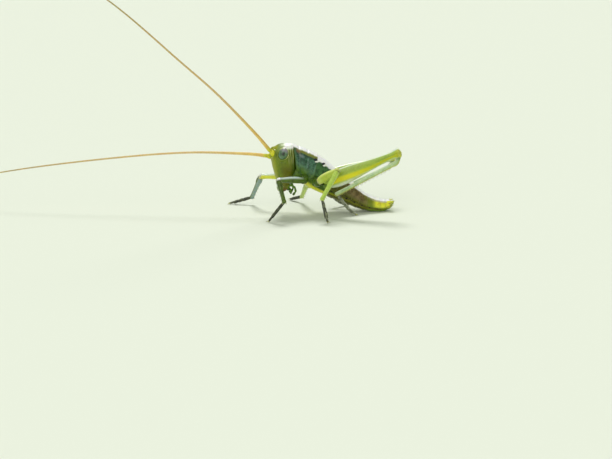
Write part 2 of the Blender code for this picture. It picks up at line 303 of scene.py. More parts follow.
mottle, grain = build_mottle(), build_grain()


def clouded(tree, ground, cloud, fleck, **amounts):
    """A ground colour with clouds and flecks of two others."""
    return use_group(tree, mottle, Ground=ground, Cloud=cloud, Fleck=fleck, **amounts)["Colour"]


BUMP_DEPTH, GLOW_DEPTH = 0.02 * MM, 0.35 * MM       # of its bumps, and of light inside it
GLOW_TINT = (0.8, 1.0, 0.25)        # how far red, green and blue light go, as shares of that


def cuticle(name, colour, gloss=0.34, pits=22000.0, bump=0.25, glow=0.35, coat=0.10):
    """A waxy, slightly see-through cuticle. colour(tree) gives the socket of its base colour."""
    made = bpy.data.materials.new(name)
    made.use_nodes = True
    tree = made.node_tree
    shader = tree.nodes["Principled BSDF"]
    tree.links.new(colour(tree), shader.inputs["Base Color"])
    fine = use_group(tree, grain, Pit_Size=pits, Gloss=gloss)
    tree.links.new(fine["Roughness"], shader.inputs["Roughness"])
    bumps = add(tree, "ShaderNodeBump", None, Height=fine["Height"], Strength=bump,
                Distance=BUMP_DEPTH)
    tree.links.new(bumps.outputs["Normal"], shader.inputs["Normal"])
    for label, value in (("Subsurface Weight", glow), ("Subsurface Radius", GLOW_TINT),
                         ("Subsurface Scale", GLOW_DEPTH), ("Coat Weight", coat),
                         ("Coat Roughness", 0.18), ("Specular IOR Level", 0.35)):
        shader.inputs[label].default_value = value
    return made


def trunk_colour(tree):
    """Leaf green low on the thorax, olive along the abdomen's soft flank, and yellow on the belly,
    brightest under the thorax, where a glow of light shining through is painted."""
    front = clouded(tree, (84, 116, 12), (56, 88, 14), (30, 54, 18), Fleck_Size=7000.0,
                    Fleck_Amount=0.7)
    rear = clouded(tree, (112, 112, 44), (84, 78, 36), (150, 150, 84), Fleck_Amount=0.5)
    # The belly's front is brighter: a painted glow of light through the thin cuticle.
    belly = layered(tree, (180, 188, 36), ((236, 234, 44), 1, ("along", 0.46, 0.34)))
    return layered(tree, front, (rear, 1, ("along", 0.34, 0.44)),
                   ((176, 178, 40), 1, ("along", 0.80, 0.90)),
                   (belly, 0.85, ("rise", -0.6, -0.85)))


trunk_skin = cuticle("trunk_skin", trunk_colour, gloss=0.42)


def trunk_lift(station, turn):
    """How far the skin lies inside the plates: it dips at every ring and folds along the flank."""
    dip = sum(fold(station, ring, 0.05) for ring in RINGS_OF_ABDOMEN) * 0.05
    flank = fold(math.sin(turn), -0.58, 0.10) * 0.07 * ease(station, 1.9, 2.3)
    wrinkle = 0.012 * math.sin(station * 70) * fold(math.sin(turn), -0.6, 0.2)
    return -SKIN_DEPTH - dip - flank + wrinkle


def trunk_rings(first, last, count, around):
    """The skin as rings of points from one station to another."""
    rings = []
    for i in range(count):
        station = first + (last - first) * i / (count - 1)
        rings.append([(trunk_point(station, turn, trunk_lift(station, turn)),
                       station / TAIL_STATION, math.sin(turn), math.cos(turn))
                      for turn in circle(around, -math.pi / 2)])
    return rings


trunk_heap = new_heap()
add_rings(trunk_heap, trunk_rings(0.02, TAIL_STATION - 0.06, 170, 72))
make_piece("skin_trunk", trunk_heap, trunk_skin, ("prothorax",))


# ----------------------------------------------------------------------
# The pronotum: one saddle of hard cuticle over the neck and the first part of the thorax, with
# lobes hanging over the flanks. It is fixed to the skin under it and free along its hind rim.
PLATE_THICKNESS = 0.06
# The band along the back: cream cuticle painted near white as a highlight of the high back light.
BAND_HIGHLIGHT_WHITE = (252, 252, 246)
BAND_START, BAND_FULL = 0.88, 0.98      # where the white band along the back starts and is full


def add_plate(heap, first, last, low, high, lifts, rows, columns, slant=0.0, rim=0.10,
              span=(0.0, 1.0), swell=None):
    """A curved shell over the trunk, with rounded rims, from the station first to last and the
    turn low to high, which may be functions of the place from 0 to 1 between the stations."""
    low_at = low if callable(low) else (lambda u: low)
    high_at = high if callable(high) else (lambda u: high)
    start, end = span
    base, width = len(heap["points"]), columns + 1
    for outer in (True, False):
        for i in range(rows + 1):
            u = i / rows
            for j in range(columns + 1):
                v = j / columns
                turn = low_at(u) + (high_at(u) - low_at(u)) * v
                edge = min(u, 1 - u, v * 2, (1 - v) * 2) / rim
                bulge = math.sqrt(1 - (1 - min(edge, 1.0)) ** 2)
                lift = lifts[0] + (lifts[1] - lifts[0]) * u ** 1.5
                if outer:
                    lift += PLATE_THICKNESS * bulge + 0.014 * fold(edge, 1.0, 0.5)
                    lift += swell(u, turn) if swell else 0.0
                else:
                    lift -= 0.015 * bulge
                shift = slant * (math.sin(turn) - math.sin(high_at(u)))
                station = first + (last - first) * u + shift
                put(heap, trunk_point(station, turn, lift), start + (end - start) * u,
                    math.sin(turn), math.cos(turn))
    for layer in (0, 1):
        offset = base + layer * (rows + 1) * width
        for i in range(rows):
            for j in range(columns):
                a = offset + i * width + j
                face = (a, a + 1, a + 1 + width, a + width)
                heap["faces"].append(face if layer == 0 else face[::-1])
    border = [i * width for i in range(rows + 1)]
    border += [rows * width + j for j in range(1, width)]
    border += [i * width + columns for i in range(rows - 1, -1, -1)]
    border += [j for j in range(columns - 1, 0, -1)]
    under = (rows + 1) * width
    for a, b in zip(border, border[1:] + border[:1]):
        heap["faces"].append((base + a, base + b, base + under + b, base + under + a))


def build_back_band_highlight():
    """The band along the back, cream painted white as a highlight of the back light, clouded with
    lilac and uneven at its edges.
    """
    tree, given, out = make_group(
        "back_band", (("Ground", COLOUR, (0.1, 0.2, 0.05, 1)), ("Start", NUMBER, BAND_START),
                      ("Full", NUMBER, BAND_FULL)), (("Colour", COLOUR),))
    ragged = cloud_noise(tree, 3600.0)
    height = maths(tree, "MULTIPLY_ADD", ragged, 0.12, trait(tree, "rise"))
    edge = add(tree, "ShaderNodeMapRange", {"interpolation_type": "SMOOTHSTEP"}, Value=height,
               From_Min=given["Start"], From_Max=given["Full"])
    band_highlight = clouded(tree, BAND_HIGHLIGHT_WHITE, (238, 234, 240), (208, 204, 208), Cloud_Size=2400.0,
                   Fleck_Size=7000.0, Fleck_Amount=0.35)
    tree.links.new(mix(tree, edge.outputs["Result"], given["Ground"], band_highlight), out["Colour"])
    return tree


back_band = build_back_band_highlight()


def with_band_highlight(tree, ground, start=BAND_START, full=BAND_FULL):
    """A ground with the band along the back over it, cream painted white as a highlight, from the
    height where it starts to where it is full.
    """
    return use_group(tree, back_band, Ground=ground, Start=start, Full=full)["Colour"]


def spotted(tree, colour):
    """A colour with the dark spots and the white rims under them, from the mesh's marks."""
    return layered(tree, colour, ((34, 28, 40), 1, ("mark", 0.3, 0.7)),
                   ((244, 244, 232), 1, ("mark", -0.3, -0.7)))


def shield_colour(tree):
    """Dark green flanks clouded with teal, and below the band along the back, painted white as a
    highlight, an olive line with a rusty patch at its front and a lilac one under that."""
    teal = clouded(tree, (74, 118, 92), (26, 70, 44), (14, 38, 32), Cloud_Size=2100.0,
                   Cloud_Amount=0.95, Fleck_Size=5600.0, Fleck_Amount=0.8)
    leaf = clouded(tree, (84, 118, 22), (40, 82, 28), (26, 52, 28), Cloud_Size=2400.0,
                   Cloud_Amount=0.9, Fleck_Amount=0.6)
    side = layered(
        tree, teal, (leaf, 1, ("rise", 0.20, -0.35)),
        ((70, 96, 30), 0.6, ("along", 0.22, 0.04)),
        ((124, 130, 136), 0.8, ("along", "near", 0.40, 0.17), ("rise", "near", 0.56, 0.14)),
        ((34, 46, 34), 0.7, ("rise", "near", 0.68, 0.09), ("along", 0.40, 0.6)),
        ((128, 128, 34), 0.85, ("rise", 0.68, 0.78), ("along", 0.12, 0.3)),
        ((128, 92, 62), 0.9, ("along", "near", 0.26, 0.17), ("rise", "near", 0.73, 0.16)),
        ((120, 142, 84), 0.3, ("along", 0.94, 0.98)))
    return spotted(tree, with_band_highlight(tree, side))


def shield_lobe(u):
    """The lobes' lower rim: high at the neck, deepest over the front legs, high at the back."""
    return math.radians(-12 - 30 * math.sin(math.pi * min(u * 1.04, 1.0)) ** 0.6)


def shield_relief(u, turn):
    """A keel along the back, two cross furrows and low waves on the lobes."""
    over = ease(math.sin(turn), -0.25, 0.35)
    return (0.02 * fold(math.sin(turn), 1.0, 0.002)
            - 0.05 * over * fold(u, 0.27 + 0.06 * math.sin(turn), 0.03)
            - 0.04 * over * fold(u, 0.60 + 0.03 * math.sin(turn), 0.03)
            + 0.02 * math.sin(turn * 5) * fold(u, 0.8, 0.2) * (1 - over))


def blot(point, centre, size):
    """A ragged spot: one inside, zero outside. Its size is half its length along Y and Z."""
    away = math.hypot((point.y - centre.y) / size[0], (point.z - centre.z) / size[1])
    return ease(1.4 - away * (1 + 0.4 * noise.noise(point * 5)), 0.0, 0.8)


SPOTS = ((0.94, math.radians(47)), (1.37, math.radians(52)))      # station and turn of each


def back_marks(point):
    """Dark spots above pale rims, at the hind corners of the shield and of the plate after it."""
    mark = 0.0
    for station, turn in SPOTS:
        spot = trunk_point(station, turn)
        side = Vector((abs(point.x), point.y, point.z))
        if side.x > 0.4:
            mark += 1.6 * blot(side, spot, (0.14, 0.085))
            mark -= blot(side, spot + Vector((0, 0.13, -0.16)), (0.23, 0.07))
    return mark


shield_skin = cuticle("shield_cuticle", shield_colour, gloss=0.28, bump=0.45, glow=0.15, coat=0.3)
shield_heap = new_heap()
add_plate(shield_heap, -0.07, 1.04, shield_lobe, lambda u: math.pi - shield_lobe(u),
          (-0.03, 0.03), 80, 180, rim=0.045, swell=shield_relief)
make_piece("pronotum_shield", shield_heap, shield_skin, ("pronotum",),
           marks=back_marks)


# ----------------------------------------------------------------------
# The plates of the middle and hind thorax: a short tergite on the back of each, and two slanting
# flank plates above each leg, with soft seams between them.
def thorax_colour(tree):
    """As the shield's flanks, but greener, and leaf green low down, with the band along the back
    painted white as a highlight.
    """
    green = clouded(tree, (66, 110, 60), (32, 74, 32), (16, 40, 26), Cloud_Size=2300.0,
                    Cloud_Amount=0.9, Fleck_Size=6000.0, Fleck_Amount=0.7)
    leaf = clouded(tree, (76, 110, 18), (48, 84, 18), (28, 54, 18), Fleck_Size=7000.0,
                   Fleck_Amount=0.7)
    side = layered(tree, green, (leaf, 1, ("rise", 0.10, -0.35)))
    return spotted(tree, with_band_highlight(tree, side, 0.75, 0.83))


thorax_skin = cuticle("thorax_cuticle", thorax_colour, gloss=0.30, bump=0.4, glow=0.2)
for name, first, last in (("mesothorax", 1.0, 1.5), ("metathorax", 1.5, 2.04)):
    plates = new_heap()
    add_plate(plates, first - 0.06, last, math.radians(-8), math.radians(188), (-0.01, 0.03),
              36, 150, rim=0.07)
    middle = (first + last) / 2
    for front, rear in ((first, middle), (middle, last)):
        for low, high in ((-48, -9), (189, 228)):
            add_plate(plates, front, rear, math.radians(low), math.radians(high),
                      (-0.065, -0.065), 16, 30, slant=-0.14 if low < 0 else 0.14, rim=0.3,
                      span=(0.0, 0.5))
    make_piece("plates_" + name, plates, thorax_skin, (name,), marks=back_marks)


# ----------------------------------------------------------------------
# The abdomen's plates: on each ring a tergite that laps over the next one like a roof tile, and
# a narrow sternite on the belly, both of hard cuticle. Between them lies the soft skin.
def tergite_colour(tree):
    """Grey brown flanks, olive in front and below, then green and yellow towards the tail, and the
    band along the back painted white as a highlight. The mesh's marks say how far back on the
    abdomen a point lies."""
    brown = clouded(tree, (128, 108, 66), (92, 78, 34), (52, 44, 22), Cloud_Size=2600.0,
                    Cloud_Amount=0.9, Fleck_Size=7000.0, Fleck_Amount=0.6)
    olive = clouded(tree, (104, 104, 18), (70, 78, 14), (40, 46, 14), Fleck_Amount=0.6)
    gold = clouded(tree, (242, 240, 58), (208, 212, 54), (212, 156, 34), Cloud_Amount=0.8,
                   Fleck_Size=4200.0, Fleck_Amount=0.6)
    side = layered(
        tree, brown, (olive, 1, ("mark", 0.34, 0.12)), (olive, 1, ("rise", 0.20, -0.35)),
        ((116, 130, 14), 1, ("mark", 0.50, 0.66)), (gold, 1, ("mark", 0.64, 0.74)),
        ((112, 144, 40), 1, ("rise", 0.0, -0.5), ("mark", 0.55, 0.7)),
        ((182, 172, 168), 0.75, ("rise", 0.42, 0.66), ("mark", 0.55, 0.75)),
        ((164, 150, 104), 0.22, ("along", 0.86, 0.95)))
    return with_band_highlight(tree, side, 0.73, 0.83)


def abdomen_place(point):
    """How far back along the abdomen a point lies, from 0 to 1."""
    return (point.y - 2.4) / 6.2


def spiracle_colour(tree):
    """Dark brown with paler flecks."""
    return clouded(tree, (60, 50, 34), (40, 32, 24), (120, 110, 70))


tergite_skin = cuticle("tergite_cuticle", tergite_colour, gloss=0.34, bump=0.45, glow=0.15)
spiracle_skin = cuticle("spiracle_cuticle", spiracle_colour, gloss=0.4, glow=0.0)
TERGITE_LOW = math.radians(-26)
STERNITE_HALF = math.radians(42)
ring_starts = RINGS_OF_ABDOMEN + (5.76,)
for number, (first, last) in enumerate(zip(ring_starts, ring_starts[1:]), 1):
    ring = new_heap()
    add_plate(ring, first - 0.05, last + 0.02, TERGITE_LOW, math.pi - TERGITE_LOW,
              (-0.035, 0.015), 20, 110)
    add_plate(ring, first - 0.03, last + 0.01, -math.pi / 2 - STERNITE_HALF,
              -math.pi / 2 + STERNITE_HALF, (-0.04, 0.0), 12, 44, rim=0.15, span=(0.0, 0.7))
    node = "abdomen_%d" % min(4, (number + 1) // 2)
    stands_for = (node,) if number in (1, 3, 5, 7) else ()
    make_piece("abdomen_ring_%d" % number, ring, tergite_skin, stands_for,
               marks=abdomen_place)


# ----------------------------------------------------------------------
# The tail: a plate over the vent, one below it, and two short soft cerci. They are tubes through
# stations of X, Y, Z, half width and half depth, with domed ends, as the limbs are after them.
def limb_frame(stations, place, step=0.01):
    """Middle, direction, half width and half depth of a tube at a place from 0 to 1."""
    last = len(stations) - 1
    row = between(stations, place * last)
    ahead = Vector(between(stations, min(place + step, 1.0) * last)[:3])
    behind = Vector(between(stations, max(place - step, 0.0) * last)[:3])
    axis = (ahead - behind).normalized()
    return Vector(row[:3]), axis, row[3], row[4]


def tube_rings(stations, count, around, dome=(0.8, 0.8), keel=0.0, reference=(0, 0, 1)):
    """Rings along a smooth line through stations, with domed ends and, if asked, four ridges."""
    rings = []
    for i in range(count):
        place = i / (count - 1)
        middle, axis, wide, deep = limb_frame(stations, place)
        side = axis.cross(Vector(reference))
        if side.length < 0.2:
            side = axis.cross(Vector((0, 1, 0)))
        side.normalize()
        up = side.cross(axis)
        ring = []
        for turn in circle(around):
            swell = 1 - keel * math.cos(4 * turn)
            shape = (side * wide * math.cos(turn) - up * deep * math.sin(turn)) * swell
            ring.append((middle + shape, place, -math.sin(turn), math.cos(turn)))
        rings.append(ring)
    for end in (0, 1):
        middle, axis, wide, deep = limb_frame(stations, end)
        out = axis * (1 if end else -1) * wide * dome[end]
        edge = rings[-end]
        caps = []
        for degrees in (18, 36, 54, 70, 84):
            shrink, lift = math.cos(math.radians(degrees)), math.sin(math.radians(degrees))
            caps.append([(middle + (p - middle) * shrink + out * lift, a, r, f)
                         for p, a, r, f in edge])
        rings = rings + caps if end else caps[::-1] + rings
    return rings


def add_tube(heap, stations, count, around, span=(0.0, 1.0), **form):
    """Add a tube to a heap, with its place along it running over the given span."""
    low, high = span
    rings = tube_rings(stations, count, around, **form)
    add_rings(heap, [[(p, low + (high - low) * a, r, f) for p, a, r, f in ring] for ring in rings])


tail = new_heap()
add_tube(tail, ((0, 7.96, 0.62, 0.44, 0.40), (0, 8.20, 0.70, 0.38, 0.34),
                (0, 8.42, 0.76, 0.22, 0.20)), 16, 40, span=(0.9, 1.0))
add_tube(tail, ((0, 7.86, 0.34, 0.40, 0.20), (0, 8.18, 0.38, 0.32, 0.17),
                (0, 8.36, 0.46, 0.18, 0.10)), 16, 36, span=(0.9, 1.0))
for sign in (1, -1):
    add_tube(tail, ((sign * 0.30, 7.92, 0.80, 0.15, 0.15), (sign * 0.40, 8.18, 0.86, 0.13, 0.13),
                    (sign * 0.44, 8.34, 0.91, 0.08, 0.08), (sign * 0.42, 8.50, 0.96, 0.03, 0.03)),
             18, 20)
    # The cerci's rise is halved so that the band's painted highlight stays off them.
    tail["rise"][-28 * 20:] = [0.5 * rise for rise in tail["rise"][-28 * 20:]]
tail_end = make_piece("tail_end", tail, tergite_skin,
                      ("tail_plate", "cercus_left", "cercus_right"), marks=abdomen_place)


# ----------------------------------------------------------------------
# The breathing holes: on the first seven rings of the abdomen one small dark slit with raised
# lips, low on each flank, in the soft skin under the plates.
SPIRACLE_TURN = math.radians(-33)
SPIRACLE_SIZE = (0.05, 0.075)
spiracles = new_heap()
for start in RINGS_OF_ABDOMEN[:7]:
    for sign in (1, -1):
        middle = trunk_point(start + 0.2, SPIRACLE_TURN, -SKIN_DEPTH + 0.02)
        out = (trunk_point(start + 0.2, SPIRACLE_TURN, 0.2) - middle).normalized()
        ahead = (trunk_point(start + 0.3, SPIRACLE_TURN) - trunk_point(start + 0.1, SPIRACLE_TURN))
        ahead.normalize()
        up = out.cross(ahead)
        rings = []
        for reach, lift in ((1.3, -0.06), (1.0, 0.01), (0.72, 0.03), (0.45, 0.0), (0.2, -0.05)):
            ring = []
            for turn in circle(18):
                point = middle + out * lift
                point += ahead * (reach * SPIRACLE_SIZE[0] * math.cos(turn))
                point += up * (reach * SPIRACLE_SIZE[1] * math.sin(turn))
                ring.append((Vector((sign * point.x, point.y, point.z)), 0.5, 0.0, reach))
            rings.append(ring if sign < 0 else ring[::-1])
        add_rings(spiracles, rings)
make_piece("spiracles", spiracles, spiracle_skin, ())


# ----------------------------------------------------------------------
# The neck: a short soft tube of ringed skin between the head and the trunk, mostly hidden by the
# head and the shield. It runs into the head in front and the trunk behind.
NECK_FOLD, NECK_FOLDS = 0.02, 34      # depth, and folds along 2 pi millimetres
neck = new_heap()
add_tube(neck, ((0, -1.36, 3.24, 0.55, 0.46), (0, -0.70, 3.46, 0.80, 0.74),
                (0, -0.10, 3.66, 0.90, 0.92), (0, 0.50, 3.70, 0.90, 0.92)), 40, 60,
         span=(0.0, 0.08))
make_piece("neck", neck, trunk_skin, (),
           relief=lambda point: NECK_FOLD * math.sin(point.y * NECK_FOLDS))


# ----------------------------------------------------------------------
# The head capsule: one hard shell, tall and a little flat in front, with rims round the eyes
# and the feelers, a blunt peak between the feelers and fine seams on the face.
HEAD = (                    # height, front and back of the level section, half width
    (2.20, -1.52, -1.50, 0.02),
    (2.26, -1.84, -1.18, 0.46),
    (2.42, -1.97, -1.04, 0.68),
    (3.05, -2.14, -0.72, 0.93),
    (4.05, -2.42, -0.34, 1.12),
    (5.15, -2.66, -0.28, 1.14),
    (5.80, -2.54, -0.40, 0.97),
    (6.20, -2.16, -0.52, 0.66),
    (6.36, -1.86, -0.62, 0.40),
    (6.43, -1.30, -1.20, 0.02),
)
HEAD_LOW, HEAD_TALL = 2.20, 4.23
EYE_CENTRE = Vector((0.98, -1.64, 5.62))
EYE_RADII = Vector((0.36, 0.41, 0.56))
EYE_LEAN, EYE_TURN = math.radians(-24), math.radians(14)
SOCKETS = (Vector((0.45, -2.46, 5.58)), Vector((-0.45, -2.50, 5.32)))
PEAK = Vector((0.0, -2.50, 5.98))
FRONT_OCELLUS = Vector((0, -2.68, 5.30))
STREAK_SPACING = 0.21


def eye_turning(sign):
    """The rotation that leans an eye back and turns it forward."""
    return Matrix.Rotation(-sign * EYE_TURN, 3, "Z") @ Matrix.Rotation(EYE_LEAN, 3, "X")


def from_line(point, start, end):
    """Distance of a point from a straight line between two others."""
    run = end - start
    t = min(max((point - start).dot(run) / run.length_squared, 0.0), 1.0)
    return (point - start - run * t).length


def from_eye(point):
    """How many times farther from the eye's middle a point is than the eye's surface."""
    side = Vector((abs(point.x), point.y, point.z))
    local = eye_turning(1).transposed() @ (side - EYE_CENTRE)
    return Vector([local[k] / EYE_RADII[k] for k in range(3)]).length


def near(point, centre, size):
    """A bump of height one round a point."""
    return fold((point - centre).length, 0.0, size)


FACE_SEAMS = (              # both ends, depth and half width: on cheek, jaw and brow
    ((1.0, -2.02, 4.95), (0.80, -1.92, 3.1), 0.05, 0.035),
    ((0.80, -1.80, 3.05), (1.00, -0.70, 3.35), 0.05, 0.035),
    ((0.30, -2.56, 5.15), (0.46, -2.36, 3.30), 0.03, 0.06),
)
CHEEK_BULGE = Vector((1.05, -1.0, 4.1))
FACE_HOLLOW = Vector((0.40, -2.62, 4.72))


def head_relief(point):
    """How far the head's shell stands out or in at a point."""
    q = Vector((abs(point.x), point.y, point.z))
    m = from_eye(point)
    # a rim round the eye with a groove outside it, and the same round each feeler
    height = 0.035 * fold(m, 1.19, 0.11) - 0.16 * ease(1.10 - m, 0.0, 0.3)
    height -= 0.03 * fold(m, 1.42, 0.08)
    d = min((point - socket).length for socket in SOCKETS)
    height += 0.08 * fold(d, 0.33, 0.05) - 0.08 * ease(0.28 - d, 0.0, 0.2)
    # the peak between the feelers, notched in the middle
    height += 0.20 * near(q, PEAK, 0.24)
    height -= 0.05 * near(q, PEAK, 0.3) * fold(q.x, 0.0, 0.035)
    # the cross seam over the mouth, with the plate under it, and the other seams of the face
    on_face = ease(-q.y, 1.25, 1.6)
    suture = 3.14 - 0.20 * (q.x / 0.8) ** 2
    height -= 0.06 * on_face * fold(q.z, suture, 0.03)
    height += 0.05 * on_face * ease(suture - q.z, 0.02, 0.12) * ease(0.62 - q.x, 0.0, 0.12)
    for start, end, depth, width in FACE_SEAMS:
        height -= depth * fold(from_line(q, Vector(start), Vector(end)), 0, width)
    height += 0.05 * near(q, CHEEK_BULGE, 0.6)
    # furrows along the crown and behind the cheeks, the small front eye and the face's hollows
    height -= 0.03 * ease(q.z, 6.0, 6.3) * fold(q.x, 0, 0.02)
    height -= 0.03 * fold(q.y, -0.78, 0.03) * ease(q.z, 3.6, 4.2)
    height += 0.04 * near(point, FRONT_OCELLUS, 0.06)
    height -= 0.035 * near(q, FACE_HOLLOW, 0.34)
    height -= 0.012 * on_face * fold(q.x, 0.0, 0.05) * ease(5.1 - q.z, 0.0, 0.5)
    # slight unevenness
    height += 0.012 * noise.noise(point * 3.5) + 0.006 * noise.noise(point * 11)
    return height


def head_marks(point):
    """Pale above zero, dark below: the ring round each eye, brightened behind and above as a
    painted highlight, and the streaks behind it.
    """
    m = from_eye(point)
    # The ring is brighter behind and above the eye: a painted highlight.
    back = ease(point.y - EYE_CENTRE.y + 0.5 * (point.z - EYE_CENTRE.z), -0.25, 0.3)
    mark = (0.32 + 0.5 * back) * fold(m, 1.16, 0.07)
    behind = ease(m, 1.22, 1.36) * ease(point.y, -1.45, -1.2) * ease(-point.y, 0.55, 0.7)
    behind *= ease(point.z, 4.1, 5.0) * ease(6.3 - point.z, 0.0, 0.25)
    wave = math.cos(2 * math.pi * (point.y + 0.95 + 0.05 * noise.noise(point * 2))
                    / STREAK_SPACING)
    mark += 0.55 * behind * wave
    mark += near(point, FRONT_OCELLUS, 0.07)
    return mark


def head_colour(tree):
    """Yellow green, yellower in front, warm olive low on the cheek, and at the back of the crown a
    pale patch painted as a highlight, then white where the band along the back begins."""
    face = clouded(tree, (110, 128, 0), (78, 100, 0), (66, 84, 4), Cloud_Size=1500.0,
                   Cloud_Amount=0.85, Fleck_Size=12000.0, Fleck_Amount=0.35)
    return layered(
        tree, face, ((102, 100, 0), 0.8, ("along", 0.66, 0.45), ("rise", 0.60, 0.1)),
        ((54, 86, 12), 0.8, ("rise", -0.30, -0.75), ("along", 0.84, 0.5)),
        ((160, 162, 0), 0.7, ("rise", 0.60, 0.95)),
        # At the back of the crown a pale patch and the band's white, painted as a highlight.
        ((172, 190, 130), 0.7, ("along", 0.80, 0.93), ("rise", 0.9, 0.4)),
        # The pale ring round each eye from the marks, brightened behind and above as a painted
        # highlight.
        ((214, 214, 158), 1, ("mark", 0.15, 0.85)), ((88, 78, 24), 0.7, ("mark", -0.1, -0.6)),
        (BAND_HIGHLIGHT_WHITE, 1, ("along", 0.875, 0.93), ("rise", 0.42, 0.0)))


head_skin = cuticle("head_cuticle", head_colour, gloss=0.33, pits=20000.0, bump=0.4, glow=0.3,
                    coat=0.06)


def squared(value, power):
    """A value from -1 to 1, pushed outwards to make a section fuller than an oval."""
    return math.copysign(abs(value) ** power, value)


def head_rings(levels, around):
    """Level sections of the head from below the mouth to the crown."""
    rings, last = [], len(HEAD) - 1
    for i in range(levels):
        t = i / (levels - 1)
        height, front, back, half = between(HEAD, t * last)
        middle, depth = (front + back) / 2, max((back - front) / 2, 0.005)
        ring = []
        for turn in circle(around):
            x = max(half, 0.004) * squared(math.cos(turn), 0.92)
            y = middle - depth * squared(math.sin(turn), 0.92)
            ring.append((Vector((x, y, height)), (height - HEAD_LOW) / HEAD_TALL,
                         (middle - y) / max(depth, 0.9), math.cos(turn)))
        rings.append(ring[::-1])
    return rings


head_heap = new_heap()
add_rings(head_heap, head_rings(210, 216))
head_piece = make_piece("head_capsule", head_heap, head_skin, ("head",),
                        relief=head_relief, marks=head_marks)


# ----------------------------------------------------------------------
# The compound eyes: oval domes of tiny lenses, grey green with darker false pupils that look
# out to the side and forward. Each sits in the rim of the head capsule.
PUPIL_AIMS = (((0.95, -0.10, 0.26), 1.0), ((0.95, -0.02, -0.16), 0.6), ((0.74, -0.62, -0.10), 0.4))
PUPIL_SIZE = 0.34
EYE_ROWS, EYE_COLUMNS = 60, 96


def eye_colour(tree):
    """Grey green with a painted reflection of purple grey above, dark green in the false pupils,
    and a painted cream highlight at the rim.
    """
    shell = clouded(tree, (96, 130, 96), (68, 102, 74), (46, 70, 54), Cloud_Size=3600.0,
                    Cloud_Amount=0.7, Fleck_Size=15000.0, Fleck_Amount=0.5)
    # Purple grey above is a painted reflection, and cream at the rim a painted highlight.
    return layered(tree, shell, ((152, 142, 154), 0.85, ("along", 0.6, 0.88)),
                   ((46, 76, 42), 0.85, ("mark", 0.0, 0.5)),
                   ((18, 36, 12), 1, ("mark", 0.40, 0.75)),
                   ((196, 200, 150), 0.8, ("rise", 0.38, 0.12)))


def lens_cuticle(name):
    """The eye's cuticle: a clear coat over six-sided lenses, which show as a fine bump."""
    made = cuticle(name, eye_colour, gloss=0.16, glow=0.1, coat=0.7)
    tree = made.node_tree
    where = tree.nodes.new("ShaderNodeTexCoord").outputs["Object"]
    lenses = add(tree, "ShaderNodeTexVoronoi", {"feature": "DISTANCE_TO_EDGE"}, Vector=where,
                 Scale=30000.0, Randomness=0.25).outputs["Distance"]
    bumps = add(tree, "ShaderNodeBump", None, Height=ramp(tree, lenses, 0.0, 0.25), Strength=0.35,
                Distance=0.006 * MM)
    tree.links.new(bumps.outputs["Normal"], tree.nodes["Principled BSDF"].inputs["Normal"])
    return made


eye_skin = lens_cuticle("eye_lenses")
for side, sign in (("left", 1), ("right", -1)):
    turning = eye_turning(sign)
    centre = Vector((sign * EYE_CENTRE.x, EYE_CENTRE.y, EYE_CENTRE.z))

    def pupil_marks(point):
        """How deep in a false pupil a point of the eye lies."""
        out = (point - centre).normalized()
        return sum(strength * near(out, Vector((sign * x, y, z)).normalized(), PUPIL_SIZE)
                   for (x, y, z), strength in PUPIL_AIMS)

    ball, rings = new_heap(), []
    for i in range(1, EYE_ROWS):
        tilt = math.pi * i / EYE_ROWS
        ring = []
        for turn in circle(EYE_COLUMNS):
            unit = Vector((math.sin(tilt) * math.cos(turn), math.sin(tilt) * math.sin(turn),
                           math.cos(tilt)))
            point = turning @ Vector([unit[k] * EYE_RADII[k] for k in range(3)])
            ring.append((centre + point, 0.5 + unit.z / 2, unit.x * sign, unit.y))
        rings.append(ring[::-1])
    add_rings(ball, rings)
    make_piece("compound_eye_" + side, ball, eye_skin, ("eye_" + side,),
               marks=pupil_marks)


# ----------------------------------------------------------------------
# The mouth: an upper lip in front, two hard brown jaws beside it, and behind them the lower lip
# with two pairs of jointed palps, which hang and hook forward.
def mouth_colour(tree):
    """Olive at the hinge, chestnut brown below it and nearly black at the biting edge."""
    olive = clouded(tree, (112, 124, 12), (92, 92, 20), (66, 60, 24), Fleck_Amount=0.5)
    return layered(tree, olive, ((112, 78, 30), 1, ("along", 0.22, 0.55)),
                   ((40, 24, 14), 1, ("along", 0.55, 0.95)))


def palp_colour(tree):
    """Leaf green with darker tips."""
    green = clouded(tree, (96, 136, 26), (64, 104, 24), (44, 72, 26), Fleck_Amount=0.3)
    return layered(tree, green, ((66, 84, 34), 1, ("along", 0.75, 1.0)))


mouth_skin = cuticle("jaw_cuticle", mouth_colour, gloss=0.28, coat=0.3, glow=0.15)
palp_skin = cuticle("palp_cuticle", palp_colour, gloss=0.34, glow=0.35)
lip = new_heap()
add_tube(lip, ((0, -1.96, 2.70, 0.40, 0.08), (0, -1.98, 2.46, 0.46, 0.12),
               (0, -1.93, 2.22, 0.45, 0.11), (0, -1.84, 2.06, 0.34, 0.07)), 30, 60, (0.12, 0.0),
         dome=(0.3, 0.35), reference=(0, -1, 0))
lip["rise"] = [0.76 + 0.04 * value for value in lip["rise"]]
make_piece("upper_lip", lip, head_skin, ("labrum",),
           relief=lambda point: (-0.04 * fold(point.x, 0, 0.06) * ease(2.3 - point.z, 0.0, 0.2)
                                 - 0.025 * fold(point.z, 2.50, 0.04)
                                 + 0.02 * noise.noise(point * 6)))
LONG_PALP = ((0.60, -1.10, 2.66), (0.74, -0.84, 2.70), (0.86, -0.58, 2.52), (0.84, -0.50, 2.16),
             (0.74, -0.70, 1.86))
SHORT_PALP = ((0.22, -1.02, 2.34), (0.32, -0.84, 2.16), (0.34, -0.88, 1.90))


def between_joints(start, end, form, arch=0.0):
    """Stations between two joints: form has rows of place, half width and half depth."""
    return [tuple(start.lerp(end, t) + Vector((0, 0, 4 * arch * t * (1 - t)))) + (wide, deep)
            for t, wide, deep in form]


